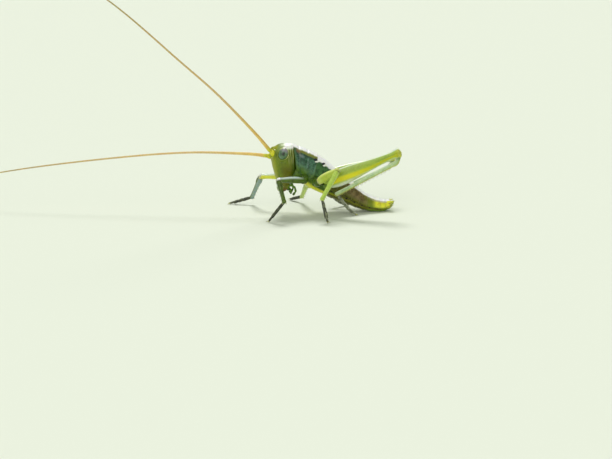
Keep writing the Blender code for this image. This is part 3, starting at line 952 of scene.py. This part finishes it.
def add_jointed(heap, joints, radii):
    """A row of small segments, each swelling a little towards its far end."""
    count = len(joints) - 1
    for k in range(count):
        thick, tip = radii[k], radii[k + 1]
        form = [(t, r, r) for t, r in
                ((0.0, thick * 0.68), (0.35, thick * 0.84), (0.8, tip), (1.0, tip * 0.9))]
        add_tube(heap, between_joints(Vector(joints[k]), Vector(joints[k + 1]), form), 14, 20,
                 (k / count, (k + 1) / count), dome=(0.7, 0.7))


for side, sign in (("left", 1), ("right", -1)):
    jaw = new_heap()
    add_tube(jaw, ((sign * 0.66, -1.44, 2.94, 0.14, 0.36), (sign * 0.60, -1.50, 2.56, 0.20, 0.38),
                   (sign * 0.42, -1.62, 2.24, 0.18, 0.28), (sign * 0.18, -1.68, 2.10, 0.09, 0.15)),
             30, 36, reference=(0, -1, 0))
    make_piece("jaw_" + side, jaw, mouth_skin, ("mandible_" + side,),
               relief=lambda point: (-0.035 * fold(point.z + 0.5 * point.y, 1.86, 0.035)
                                     - 0.03 * fold(point.y, -1.46, 0.05)
                                     + 0.02 * noise.noise(point * 5)))
    palps = new_heap()
    add_jointed(palps, [(sign * x, y, z) for x, y, z in LONG_PALP], (0.11, 0.11, 0.10, 0.10, 0.115))
    add_jointed(palps, [(sign * x, y, z) for x, y, z in SHORT_PALP], (0.09, 0.09, 0.10))
    add_tube(palps, ((sign * 0.28, -1.18, 2.60, 0.26, 0.22),
                     (sign * 0.22, -1.10, 2.28, 0.18, 0.15)), 12, 30)
    make_piece("palps_" + side, palps, palp_skin, ("long_palp_" + side, "short_palp_" + side))


# ----------------------------------------------------------------------
# The feelers: a stout scape and a small pedicel, then a whip of about a hundred short rings,
# thinning from a third of a millimetre to a hair. Yellow at the base, then orange and grey tan.
FEELERS = {
    "left": ((0.44, -2.78, 5.86), (1.28, -4.40, 7.82), (3.33, -7.70, 11.40),
             (5.45, -11.20, 14.70), (8.80, -16.55, 19.65), (12.10, -22.60, 24.20)),
    "right": ((-0.42, -2.96, 5.24), (-0.86, -4.90, 5.40), (-1.95, -9.75, 5.44),
              (-3.25, -15.60, 4.95), (-5.10, -23.90, 3.85), (-6.70, -32.00, 2.40)),
}
SCAPES = {
    "left": ((0.50, -2.16, 5.28), (0.42, -2.62, 5.74)),
    "right": ((-0.50, -2.20, 5.17), (-0.40, -2.84, 5.22)),
}
SCAPE = ((0.0, 0.18, 0.18), (0.3, 0.25, 0.25), (0.75, 0.26, 0.26), (1.0, 0.20, 0.20))
PEDICEL = ((0.1, 0.15, 0.15), (0.6, 0.18, 0.18), (1.0, 0.16, 0.16))
WHIP_THICKNESS = (0.175, 0.135, 0.10, 0.082, 0.064, 0.036)      # half thickness at each station
FEELER_RINGS = 104
RING_STEPS = 6              # how many steps of the mesh each ring takes


def feeler_colour(tree):
    """Yellow to orange to grey tan, with a dark hairline at each joint."""
    whip = layered(tree, (214, 220, 8), ((234, 202, 112), 1, ("along", 0.005, 0.08)),
                   ((214, 186, 136), 1, ("along", 0.12, 0.40)),
                   ((158, 144, 110), 1, ("along", 0.45, 1.0)))
    spots = clouded(tree, whip, (212, 160, 96), (150, 110, 66), Cloud_Amount=0.35,
                    Fleck_Amount=0.2)
    return layered(tree, spots, ((122, 88, 50), 0.4, ("flank", 0.6, 1.0)))


feeler_skin = cuticle("feeler_cuticle", feeler_colour, gloss=0.4, glow=0.3, coat=0.05)
for side in ("left", "right"):
    feeler = new_heap()
    base, end = (Vector(p) for p in SCAPES[side])
    whip = [tuple(p) + (r, r) for p, r in zip(FEELERS[side], WHIP_THICKNESS)]
    start = Vector(whip[0][:3])
    add_tube(feeler, between_joints(base, end, SCAPE), 18, 32, span=(0.0, 0.0))
    add_tube(feeler, between_joints(end, start, PEDICEL), 12, 26, span=(0.0, 0.01))
    rings = tube_rings(whip, FEELER_RINGS * RING_STEPS + 1, 12, (0.5, 0.8))
    for i, ring in enumerate(rings):
        step = round(ring[0][1] * FEELER_RINGS * RING_STEPS) % RING_STEPS
        middle = sum((p for p, a, r, f in ring), Vector()) / len(ring)
        swell = 1.0 + 0.06 * fold(step, 5, 1.1) - 0.06 * fold(step, 0, 0.6)
        rings[i] = [(middle + (p - middle) * swell, a, r, fold(step, 0, 0.6))
                    for p, a, r, f in ring]
    add_rings(feeler, rings)
    nodes = ["scape_" + side] + ["antenna_%s_%s" % (part, side)
                                 for part in ("base", "middle", "tip")]
    make_piece("feeler_" + side, feeler, feeler_skin, nodes)


# ----------------------------------------------------------------------
# The forms and colours of the legs. Each has a short stout coxa, a ring of trochanter, a thigh
# and a shin, of thin hard cuticle with four low ridges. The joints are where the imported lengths
# end.
DOME_REACH = 0.20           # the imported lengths' domed ends stand past their joints by this
TIP_DEPTH = 0.05            # how much of a domed end counts as its tip
COXA = ((0.40, 0.44), (0.38, 0.42), (0.29, 0.33))       # half width and depth: body to hip
TROCHANTER = ((0.25, 0.29), (0.27, 0.31))               # and of the short ring after it
HAIRS = {"thigh": 420, "shin": 380, "leg": 460}         # bristles on each part
TOE_HEIGHT = 0.13
THIGH = {                   # place along the thigh, half width and half depth
    "front": ((0.0, 0.19, 0.21), (0.08, 0.24, 0.28), (0.3, 0.26, 0.31), (0.6, 0.23, 0.28),
              (0.85, 0.21, 0.24), (0.96, 0.23, 0.27), (1.0, 0.22, 0.24)),
    "middle": ((0.0, 0.20, 0.23), (0.08, 0.26, 0.33), (0.3, 0.29, 0.39), (0.6, 0.26, 0.35),
               (0.85, 0.22, 0.27), (0.96, 0.24, 0.29), (1.0, 0.23, 0.26)),
    "hind": ((0.0, 0.30, 0.44), (0.07, 0.38, 0.66), (0.18, 0.44, 0.78), (0.34, 0.42, 0.74),
             (0.52, 0.33, 0.58), (0.70, 0.25, 0.43), (0.88, 0.21, 0.36), (0.95, 0.25, 0.43),
             (1.0, 0.25, 0.47)),
}
SHIN = {
    "front": ((0.0, 0.21, 0.23), (0.10, 0.23, 0.27), (0.25, 0.24, 0.29), (0.45, 0.19, 0.21),
              (0.85, 0.18, 0.19), (1.0, 0.20, 0.21)),
    "middle": ((0.0, 0.21, 0.23), (0.12, 0.22, 0.26), (0.5, 0.19, 0.22), (0.85, 0.17, 0.19),
               (1.0, 0.19, 0.20)),
    "hind": ((0.0, 0.18, 0.20), (0.05, 0.20, 0.23), (0.15, 0.17, 0.20), (0.6, 0.16, 0.18),
             (0.92, 0.17, 0.19), (1.0, 0.20, 0.21)),
}
THIGH_ARCH = {"front": 0.06, "middle": 0.06, "hind": 0.0}
FOOT_SAG = {"front": 0.0, "middle": 0.0, "hind": 0.22}
HIND_SHIN_BELOW_KNEE = 0.80
KEEL = 0.035


def own(point):
    """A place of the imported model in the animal's own millimetres."""
    return (Vector(point) - home) / MM


def joint_after(node, behind):
    """The joint at a packed length's far end, under the middle of its dome."""
    points = [own(v.co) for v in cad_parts[node].data.vertices]
    far = max((p - behind).length for p in points)
    ring = [p for p in points if (p - behind).length > far - TIP_DEPTH]
    tip = sum(ring, Vector()) / len(ring)
    return tip - (tip - behind).normalized() * DOME_REACH


def limb_paint(ground, cloud, top, inside, shin_back_sheen, knee_tint, root_tint, hip):
    """The colouring of a leg: clouded, with a painted highlight along the top of the thigh, other
    tints on its inner side and a painted sheen on the back of the shin. A leg's traits run from
    hip to knee to ankle, and flank is below zero on the inside. The shin is tinted like the cloud."""
    def colour(tree):
        """Olive hip, tinted thigh and shin with painted highlights, and a pale knee with a dark
        edge.
        """
        green = clouded(tree, ground, cloud, (30, 48, 26), Cloud_Size=3200.0, Cloud_Amount=0.8,
                        Fleck_Size=9000.0, Fleck_Amount=0.6)
        # top colours a painted highlight along the upper side of the thigh.
        thigh = layered(tree, green, (inside, 0.8, ("flank", 0.0, -0.6)),
                        (top, 0.85, ("rise", 0.15, 0.75)), (root_tint, 0.8, ("along", 0.27, 0.17)))
        # The shin's back side is lighter: a painted sheen.
        shin = layered(tree, mix(tree, 0.5, green, cloud), (shin_back_sheen, 0.75, ("rise", 0.2, -0.6)))
        coxa = clouded(tree, hip, (56, 84, 14), (26, 48, 14), Fleck_Size=7000.0, Fleck_Amount=0.8)
        return layered(tree, thigh, (shin, 1, ("along", 0.49, 0.53)),
                       ((44, 54, 34), 0.7, ("along", "near", 0.545, 0.03)),
                       (knee_tint, 0.9, ("along", "near", 0.495, 0.055), ("rise", -0.3, 0.5)),
                       (coxa, 1, ("along", 0.15, 0.11)))
    return colour


def thigh_colour(tree):
    """Green above with fine cross lines and a paler upper side painted as sheen, a lemon yellow
    stripe that dips midway and fills the knee, a painted highlight along the top edge, and a pale
    grey green underside with a painted highlight near its base."""
    along, rise = trait(tree, "along"), trait(tree, "rise")
    body = clouded(tree, (166, 190, 62), (138, 168, 46), (98, 126, 36), Cloud_Amount=0.6,
                   Fleck_Amount=0.3)
    lines = maths(tree, "SINE", maths(tree, "MULTIPLY_ADD", rise, -4.0, times(tree, along, 520.0)))
    body = layered(tree, body, ((116, 120, 22), 0.45, (lines, -0.4, 0.9), ("rise", 0.05, 0.35),
                                ("along", 0.72, 0.45)),
                   # The upper side paler: a painted sheen.
                   ((198, 214, 136), 0.5, ("rise", 0.4, 0.9)))
    silver = clouded(tree, (192, 206, 142), (164, 188, 112), (120, 146, 90), Fleck_Amount=0.3)
    # A painted highlight on the lower edge near the base.
    silver = layered(tree, silver, ((232, 236, 224), 0.8, ("along", "near", 0.24, 0.22),
                                    ("rise", -0.45, -0.7)))
    yellow = layered(tree, (226, 218, 0), ((180, 186, 0), 1, ("along", 0.30, 0.70)))
    dip = times(tree, fold_mask(tree, along, 0.58, 0.36), 0.30)
    height = maths(tree, "ADD", maths(tree, "ADD", rise, dip), 0.12)
    reach = maths(tree, "MULTIPLY_ADD", ramp(tree, along, 0.80, 0.97), 0.55, 0.34)
    stripe = maths(tree, "DIVIDE", maths(tree, "ABSOLUTE", height), reach)
    # The top edge white: a painted highlight.
    top_edge_highlight = maths(tree, "MULTIPLY_ADD", ramp(tree, along, 0.45, 0.95), 0.18, rise)
    return layered(tree, body, (silver, 1, ("rise", -0.25, -0.70)),
                   (yellow, 1, (stripe, 1.35, 0.35), ("along", 0.04, 0.14)),
                   ((120, 138, 8), 0.45, ("rise", "near", 0.14, 0.16), ("along", 0.45, 0.72)),
                   ((196, 200, 84), 0.7, ("along", 0.93, 1.0)),
                   ((226, 236, 214), 1, (top_edge_highlight, 0.80, 0.98)))


def shin_colour(tree):
    """Silver green with a painted highlight along its top, a yellow tinge along its lower edge and
    a darker green head.
    """
    silver = clouded(tree, (186, 206, 152), (150, 178, 124), (90, 114, 70), Cloud_Amount=0.7,
                     Fleck_Amount=0.4)
    # The upper side paler: a painted highlight.
    return layered(tree, silver, ((216, 226, 208), 0.7, ("rise", 0.3, 0.9)),
                   ((190, 190, 60), 0.75, ("rise", -0.2, -0.8)),
                   ((92, 128, 50), 0.65, ("along", 0.24, 0.14)))


def foot_paint(ground, cloud, pale):
    """The colouring of a foot: clouded, with a painted sheen on top and pale joints."""
    def colour(tree):
        """Clouds over the ground, a painted sheen above, and the joints from the mesh's marks."""
        dark = clouded(tree, ground, cloud, pale, Cloud_Size=4200.0, Cloud_Amount=0.85,
                       Fleck_Size=8000.0, Fleck_Amount=0.5)
        uneven = cloud_noise(tree, 3400.0)
        # The top paler, broken by noise: a painted sheen.
        return layered(tree, dark, (pale, 0.75, ("rise", 0.45, 0.95), (uneven, 0.38, 0.60)),
                       (pale, 0.8, ("mark", 0.2, 0.8)))
    return colour


# For each leg the third colour is the painted highlight on top of the thigh, and the fifth the
# painted sheen on the back of the shin.
LIMB_SKINS = {
    "front": cuticle("front_leg_cuticle",
                     limb_paint((92, 122, 6), (62, 78, 10), (218, 232, 230), (240, 240, 70),
                                (150, 174, 172), (236, 238, 228), (84, 116, 12), (78, 108, 12)),
                     gloss=0.24, glow=0.3, coat=0.25),
    "middle": cuticle("middle_leg_cuticle",
                      limb_paint((204, 224, 108), (172, 200, 80), (232, 240, 140), (176, 192, 60),
                                 (196, 214, 124), (222, 230, 120), (216, 226, 132), (78, 108, 12)),
                      gloss=0.26, glow=0.35, coat=0.2),
    "hind": cuticle("hind_hip_cuticle",
                    limb_paint((120, 152, 40), (84, 120, 30), (186, 200, 110), (120, 150, 40),
                               (120, 150, 40), (180, 190, 60), (104, 132, 22), (92, 122, 16)),
                    gloss=0.28, glow=0.3),
}
thigh_skin = cuticle("hind_thigh_cuticle", thigh_colour, gloss=0.28, glow=0.35, coat=0.25)
shin_skin = cuticle("hind_shin_cuticle", shin_colour, gloss=0.26, glow=0.35, coat=0.3)
DARK_FOOT = cuticle("foot_cuticle", foot_paint((66, 70, 50), (32, 36, 30), (156, 160, 128)),
                    gloss=0.36, glow=0.1)
PALE_FOOT = cuticle("hind_foot_cuticle",
                    foot_paint((136, 140, 116), (74, 78, 60), (206, 208, 190)), gloss=0.36,
                    glow=0.1)


def ear_relief(top, ankle):
    """The hearing pits of a front shin: an oval hollow with a raised rim on each side."""
    middle = top.lerp(ankle, 0.20)
    axis = (ankle - top).normalized()

    def relief(point):
        """How far the shin stands out or in at a point."""
        run = (point - middle).dot(axis)
        across = (point - middle) - axis * run
        if across.length > 0.4:
            return 0.0
        face = abs(across.normalized().y) if across.length > 0.01 else 0.0
        place = math.hypot(run / 0.20, (1 - face) / 0.25)
        return 0.02 * fold(place, 1.1, 0.25) - 0.05 * ease(1.0 - place, 0.0, 0.5)
    return relief


def add_knee(heap, knee, thigh_run, size, span):
    """The two round lobes at a thigh's end that hold the shin between them."""
    out = thigh_run.cross(Vector((0, 0, 1))).normalized()
    for flank in (1, -1):
        lobe = knee + out * (flank * size * 0.80) + Vector((0, 0, -size * 0.35))
        end = lobe + thigh_run.normalized() * (size * 0.55) + Vector((0, 0, -size * 0.45))
        start = len(heap["points"])
        add_tube(heap, (tuple(lobe) + (size * 0.26, size * 0.80),
                        tuple(end) + (size * 0.20, size * 0.50)), 12, 26, span=span)
        # The lobes' rise is cut so that the painted highlights along the top stay off them.
        heap["rise"][start:] = [0.3 * rise for rise in heap["rise"][start:]]


# ----------------------------------------------------------------------
# The feet: four short segments, the first three with a pair of soft soles, the last slim and
# carrying two hooked claws. They are of dark grey green cuticle, paler on the hind pair.
FOOT = (                    # start and end along the foot, half width, half depth
    (0.00, 0.36, 0.15, 0.15), (0.28, 0.56, 0.16, 0.15), (0.48, 0.76, 0.21, 0.14),
    (0.66, 1.00, 0.10, 0.10),
)
FOOT_SEGMENT = ((0.0, 0.58, 0.66), (0.4, 0.84, 0.94), (0.8, 1.0, 1.0), (1.0, 0.85, 0.8))
SOLE_HEIGHT = 0.085         # of the middle of a sole


def add_thorn(heap, root, aim, length, thick, curl=Vector()):
    """A thorn, spur or claw: a small cone from its root, bending a little to one side."""
    side = aim.cross(Vector((0.3, 0.2, 1))).normalized()
    other = aim.cross(side).normalized()
    rings = []
    for k in range(7):
        t = k / 6
        middle = root + aim * (length * t) + curl * (t * t)
        size = thick * (1 - t) ** 0.8 + 0.004
        rings.append([(middle + (side * math.cos(a) + other * math.sin(a)) * size, 1.0, 0.0, t)
                      for a in circle(8)])
    add_rings(heap, rings)


def thorn_colour(tree):
    """Straw at the root, dark brown at the point."""
    ground = clouded(tree, (190, 192, 110), (160, 150, 84), (90, 80, 50), Fleck_Amount=0.3)
    return layered(tree, ground, ((52, 38, 28), 1, ("flank", 0.5, 0.95)))


thorn_skin = cuticle("thorn_cuticle", thorn_colour, gloss=0.3, glow=0.1)


def build_foot(name, ankle, toe, sag):
    """The segments from the ankle to the toe, with their soles, and the claws."""
    def place(t):
        """A point on the foot's middle line, which may sag between its ends."""
        return ankle.lerp(toe, t) - Vector((0, 0, 4 * sag * t * (1 - t)))

    foot = new_heap()
    joints = []
    for start, end, wide, deep in FOOT:
        a, b = place(start), place(end)
        run = (b - a).normalized()
        side = run.cross(Vector((0, 0, 1))).normalized()
        form = [(t, w * wide, d * deep) for t, w, d in FOOT_SEGMENT]
        rows = [(x, y, max(z, d + FLOOR_CLEARANCE), w, d)
                for x, y, z, w, d in between_joints(a, b, form)]
        add_tube(foot, rows, 18, 26, span=(start, end))
        joints.append(a)
        if wide > 0.12:
            for flank in (1, -1):
                pad = b - run * 0.10 + side * (flank * wide * 0.55)
                pad.z = max(pad.z - deep * 0.55, SOLE_HEIGHT)
                ahead = pad + run * 0.15
                ahead.z = max(ahead.z, SOLE_HEIGHT)
                add_tube(foot, (tuple(pad) + (0.09, 0.08), tuple(ahead) + (0.08, 0.07)), 8, 18,
                         span=(start, end))

    def joint_marks(point):
        """Pale at the start of each segment."""
        return max(near(point, joint, 0.13) for joint in joints)

    make_piece("foot_" + name, foot, PALE_FOOT if sag else DARK_FOOT, ("tarsus_" + name,),
               marks=joint_marks)
    claws = new_heap()
    run = toe - ankle
    ahead = Vector((run.x, run.y, 0)).normalized()
    side = ahead.cross(Vector((0, 0, 1)))
    for flank in (1, -1):
        root = toe + side * (flank * 0.05) - ahead * 0.02
        aim = (ahead * 0.9 + side * (flank * 0.5) + Vector((0, 0, 0.35))).normalized()
        add_thorn(claws, root, aim, 0.26, 0.05, Vector((0, 0, -0.17)) + ahead * 0.02)
    make_piece("claws_" + name, claws, thorn_skin, ())


# ----------------------------------------------------------------------
# The thorns: two rows of small stiff cones along the underside of each shin and two spurs at its
# end, horn brown at the tip. They are outgrowths of the shin's cuticle and lean to the foot.
THORNS = {                  # how many in a row, length and half thickness at the root
    "front": (6, 0.20, 0.024), "middle": (6, 0.20, 0.024), "hind": (13, 0.36, 0.030),
}
SPUR = (0.26, 0.035)


def add_thorns(name, kind, top, ankle):
    """Two rows of thorns under a shin and two spurs at its end, all leaning to the foot."""
    thorns = new_heap()
    run = ankle - top
    along_shin = run.normalized()
    across = run.cross(Vector((0, 0, 1))).normalized()
    under = across.cross(run).normalized()
    if under.z > 0:
        under = -under
    count, size, thick = THORNS[kind]
    for k in range(count):
        for flank in (1, -1):
            place = top + run * (0.16 + 0.76 * (k + 0.25 * flank) / (count - 1))
            edge = (under * 0.75 + across * (flank * 0.65)).normalized()
            aim = (edge + along_shin * 0.9).normalized()
            add_thorn(thorns, place + edge * 0.15, aim, size, thick)
    for flank in (1, -1):
        spur = (along_shin + across * (flank * 0.45) + under * 0.3).normalized()
        add_thorn(thorns, ankle + across * (flank * 0.13), spur, *SPUR)
    make_piece("thorns_" + name, thorns, thorn_skin, ())


# ----------------------------------------------------------------------
# The six legs, from hip to claws, each from its packed joints. The coxa sits in the flank under
# its plates. A hind leg's hip, thigh and shin are hard shells of their own, and a front or middle
# leg has one skin.
KNEE_SIZE = {"front": 0.20, "middle": 0.20, "hind": 0.27}
limb_pieces = []


def make_limb(part, name, heap, sign, skin, nodes, joints=(), relief=None):
    """Make a part of a leg, with the flank trait below zero on its inner side. A part that
    carries bristles is kept for them, with the joints at its start, middle and end."""
    heap["flank"] = [-sign * value for value in heap["flank"]]
    replaced = ["%s_%s" % (node, name) for node in nodes]
    piece = make_piece("%s_%s" % (part, name), heap, skin, replaced, relief=relief)
    if part in HAIRS:
        limb_pieces.append((piece, *joints, HAIRS[part]))


for kind in ("front", "middle", "hind"):
    for side_name, sign in (("left", 1), ("right", -1)):
        name = "%s_%s" % (kind, side_name)
        low, high = (own(corner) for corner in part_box("coxa_" + name))
        root = (low + high) / 2
        hip = joint_after("coxa_" + name, Vector((0, root.y + 0.1, root.z + 0.3)))
        knee = joint_after("femur_" + name, hip)
        ankle = joint_after("tibia_" + name, knee)
        toe = joint_after("tarsus_" + name, ankle)
        toe.z = TOE_HEIGHT
        thigh_run = (knee - hip).normalized()
        thigh_rows = between_joints(hip, knee, THIGH[kind], THIGH_ARCH[kind])

        upper = new_heap()
        inner = Vector((sign * 0.55, root.y + 0.12, root.z + 0.22))
        add_tube(upper, [tuple(p) + size for p, size in zip((inner, root, hip), COXA)], 24, 40,
                 span=(0.0, 0.10), keel=KEEL)
        ring = (hip, hip + thigh_run * 0.10)
        add_tube(upper, [tuple(p) + size for p, size in zip(ring, TROCHANTER)], 10, 36,
                 span=(0.10, 0.14))
        if kind == "hind":
            make_limb("hip", name, upper, sign, LIMB_SKINS[kind], ("coxa",))
            thigh, shin = new_heap(), new_heap()
            add_tube(thigh, thigh_rows, 130, 64, keel=KEEL)
            add_knee(thigh, knee, thigh_run, KNEE_SIZE[kind], (0.97, 1.0))
            make_limb("thigh", name, thigh, sign, thigh_skin, ("femur",), (hip, knee, knee))
            top = knee - Vector((0, 0, HIND_SHIN_BELOW_KNEE))
            head_of_shin = knee + thigh_run * 0.04 - Vector((0, 0, 0.24))
            bend = knee - thigh_run * 0.06 - Vector((0, 0, 0.54))
            rows = [tuple(head_of_shin) + (0.15, 0.16), tuple(bend) + (0.18, 0.19)]
            rows += between_joints(top, ankle, SHIN[kind])[1:]
            add_tube(shin, rows, 110, 32, keel=KEEL)
            make_limb("shin", name, shin, sign, shin_skin, ("tibia",), (top, ankle, ankle))
        else:
            top = knee
            add_tube(upper, thigh_rows, 60, 40, span=(0.14, 0.5), keel=KEEL)
            add_knee(upper, knee, thigh_run, KNEE_SIZE[kind], (0.49, 0.5))
            add_tube(upper, between_joints(top, ankle, SHIN[kind]), 60, 36, span=(0.5, 1.0),
                     keel=KEEL)
            make_limb("leg", name, upper, sign, LIMB_SKINS[kind], ("coxa", "femur", "tibia"),
                      (hip, knee, ankle), ear_relief(top, ankle) if kind == "front" else None)
        build_foot(name, ankle, toe, FOOT_SAG[kind])
        add_thorns(name, kind, top, ankle)


# ----------------------------------------------------------------------
# The bristles: fine short hairs on the legs, the face and the tail, rooted in the cuticle and
# leaning to the tip of the limb that they grow on.
HAIR_PATCH = 0.003          # each hair's share of its piece's map, at its root's place
HAIR_STEPS = ((0.0, 1.0), (0.55, 0.7), (1.0, 0.12))     # place along a hair, share of thickness
POINTS_IN_HAIR = 9
ROOT_DEPTH = 0.02           # how deep a hair starts in the cuticle


def bristle_colour(tree):
    """Straw, paler at the tip."""
    ground = clouded(tree, (206, 206, 140), (170, 170, 110), (140, 136, 90), Cloud_Size=5000.0)
    return layered(tree, ground, ((226, 226, 190), 1, ("flank", 0.4, 1.0)))


bristle_skin = cuticle("bristle_cuticle", bristle_colour, gloss=0.4, glow=0.1, coat=0.0)


def bristle_piece(name, piece, count, length, thick, lean, allowed):
    """Hairs on a piece's mesh. lean(point) says which way they lie, allowed(point) where."""
    pick = random.Random(name)
    mesh = piece.data
    hairs, maps = new_heap(), []
    traits = {label: mesh.attributes[label].data for label in LABELS[1:]}
    for _ in range(count * 4):
        vertex = mesh.vertices[pick.randrange(len(mesh.vertices))]
        root = (vertex.co - home) / MM
        if not allowed(root):
            continue
        normal = vertex.normal.copy()
        aim = (normal * (0.45 + 0.35 * pick.random()) + lean(root) * 0.8).normalized()
        reach = length * (0.6 + 0.7 * pick.random())
        k = vertex.index
        turn = math.atan2(traits["rise"][k].value, traits["flank"][k].value)
        place = (0.5 + turn / (2 * math.pi), traits["along"][k].value)
        side = aim.cross(Vector((0.2, 0.1, 1))).normalized()
        other = aim.cross(side)
        base = len(hairs["points"])
        for step, (t, size) in enumerate(HAIR_STEPS):
            arch = reach * 0.12 * t * (1 - t)
            middle = root + aim * (reach * t) - normal * (ROOT_DEPTH - arch)
            for j, turn in enumerate(circle(3)):
                spread = (side * math.cos(turn) + other * math.sin(turn)) * (thick * size)
                put(hairs, middle + spread, place[1], traits["rise"][k].value, t)
                maps.append((place[0] + HAIR_PATCH * j / 3, place[1] + HAIR_PATCH * t))
            if step:
                low, high = base + 3 * step - 3, base + 3 * step
                for j in range(3):
                    n = (j + 1) % 3
                    hairs["faces"].append((low + j, low + n, high + n, high + j))
        hairs["faces"].append((base + 6, base + 7, base + 8))
        hairs["faces"].append((base + 2, base + 1, base))
        if len(maps) >= count * POINTS_IN_HAIR:
            break
    made = make_piece(name, hairs, bristle_skin, ())
    layer = made.data.uv_layers.new(name="OFBake")
    for loop in made.data.loops:
        layer.data[loop.index].uv = maps[loop.vertex_index]


for piece, start, middle, end, count in limb_pieces:
    def down_limb(point):
        """Towards the knee on the thigh, and towards the ankle on the shin."""
        if middle == end or from_line(point, start, middle) <= from_line(point, middle, end):
            return (middle - start).normalized()
        return (end - middle).normalized()

    bristle_piece("bristles_" + piece.name, piece, count, 0.13, 0.0055, down_limb,
                  lambda point: point.z > 0.1)
bristle_piece("bristles_tail", tail_end, 260, 0.13, 0.0045,
              lambda point: Vector((0, 1, 0.2)).normalized(), lambda point: point.y > 8.0)
bristle_piece("bristles_face", head_piece, 420, 0.07, 0.0045,
              lambda point: Vector((0, -0.2, -1)).normalized(),
              lambda point: from_eye(point) > 1.3 and point.y < -0.9)


# ----------------------------------------------------------------------
# The studio: a pale floor, a large soft light high behind the animal that draws the bright ridge
# along its back, a broad fill on the near side and a pale sky.
floor_material = bpy.data.materials.new("floor_paper")
floor_material.use_nodes = True
floor_shader = floor_material.node_tree.nodes["Principled BSDF"]
floor_shader.inputs["Base Color"].default_value = paint(222, 226, 212)
floor_shader.inputs["Roughness"].default_value = 0.9
HALF_FLOOR = 3.0
floor_mesh = bpy.data.meshes.new("floor")
floor_mesh.from_pydata([(x * HALF_FLOOR, y * HALF_FLOOR, 0)
                        for x, y in ((-1, -1), (1, -1), (1, 1), (-1, 1))], [], [(0, 1, 2, 3)])
floor_mesh.materials.append(floor_material)
new_object("floor", floor_mesh)

world = bpy.data.worlds.new("studio")
bpy.context.scene.world = world
world.use_nodes = True
world.node_tree.nodes["Background"].inputs["Color"].default_value = paint(226, 234, 220)
world.node_tree.nodes["Background"].inputs["Strength"].default_value = 0.50
bpy.context.scene.view_settings.view_transform = "Standard"


def soft_sun(name, place, spread, strength):
    """A light from far away in the direction of place, as soft as its spread in degrees."""
    data = bpy.data.lights.new(name, "SUN")
    data.angle = math.radians(spread)
    data.energy = strength
    new_object(name, data).rotation_euler = Vector(place).to_track_quat("Z", "Y").to_euler()


soft_sun("high_back_light", (-0.55, 0.05, 0.85), 22, 2.2)
soft_sun("near_fill", (0.8, -0.45, 0.5), 60, 1.05)

VIEW_TURN, VIEW_RISE = math.radians(8), math.radians(12)
VIEW_DISTANCE = 170.0
FRAME_WIDTH = 55.24         # how wide the camera sees at the animal, in millimetres
AIM = Vector((0.382, 0.493, -1.457))
back = Vector((math.cos(VIEW_TURN) * math.cos(VIEW_RISE),
               -math.sin(VIEW_TURN) * math.cos(VIEW_RISE), math.sin(VIEW_RISE)))
right = Vector((math.sin(VIEW_TURN), math.cos(VIEW_TURN), 0.0))
camera_data = bpy.data.cameras.new("camera")
camera_data.sensor_width = 36.0
camera_data.lens = camera_data.sensor_width * VIEW_DISTANCE / FRAME_WIDTH
camera_data.clip_start = 0.001
turned = Matrix((right, back.cross(right), back)).transposed().to_4x4()
turned.translation = home + (AIM + back * VIEW_DISTANCE) * MM
camera = new_object("camera", camera_data)
camera.matrix_world = turned
bpy.context.scene.camera = camera
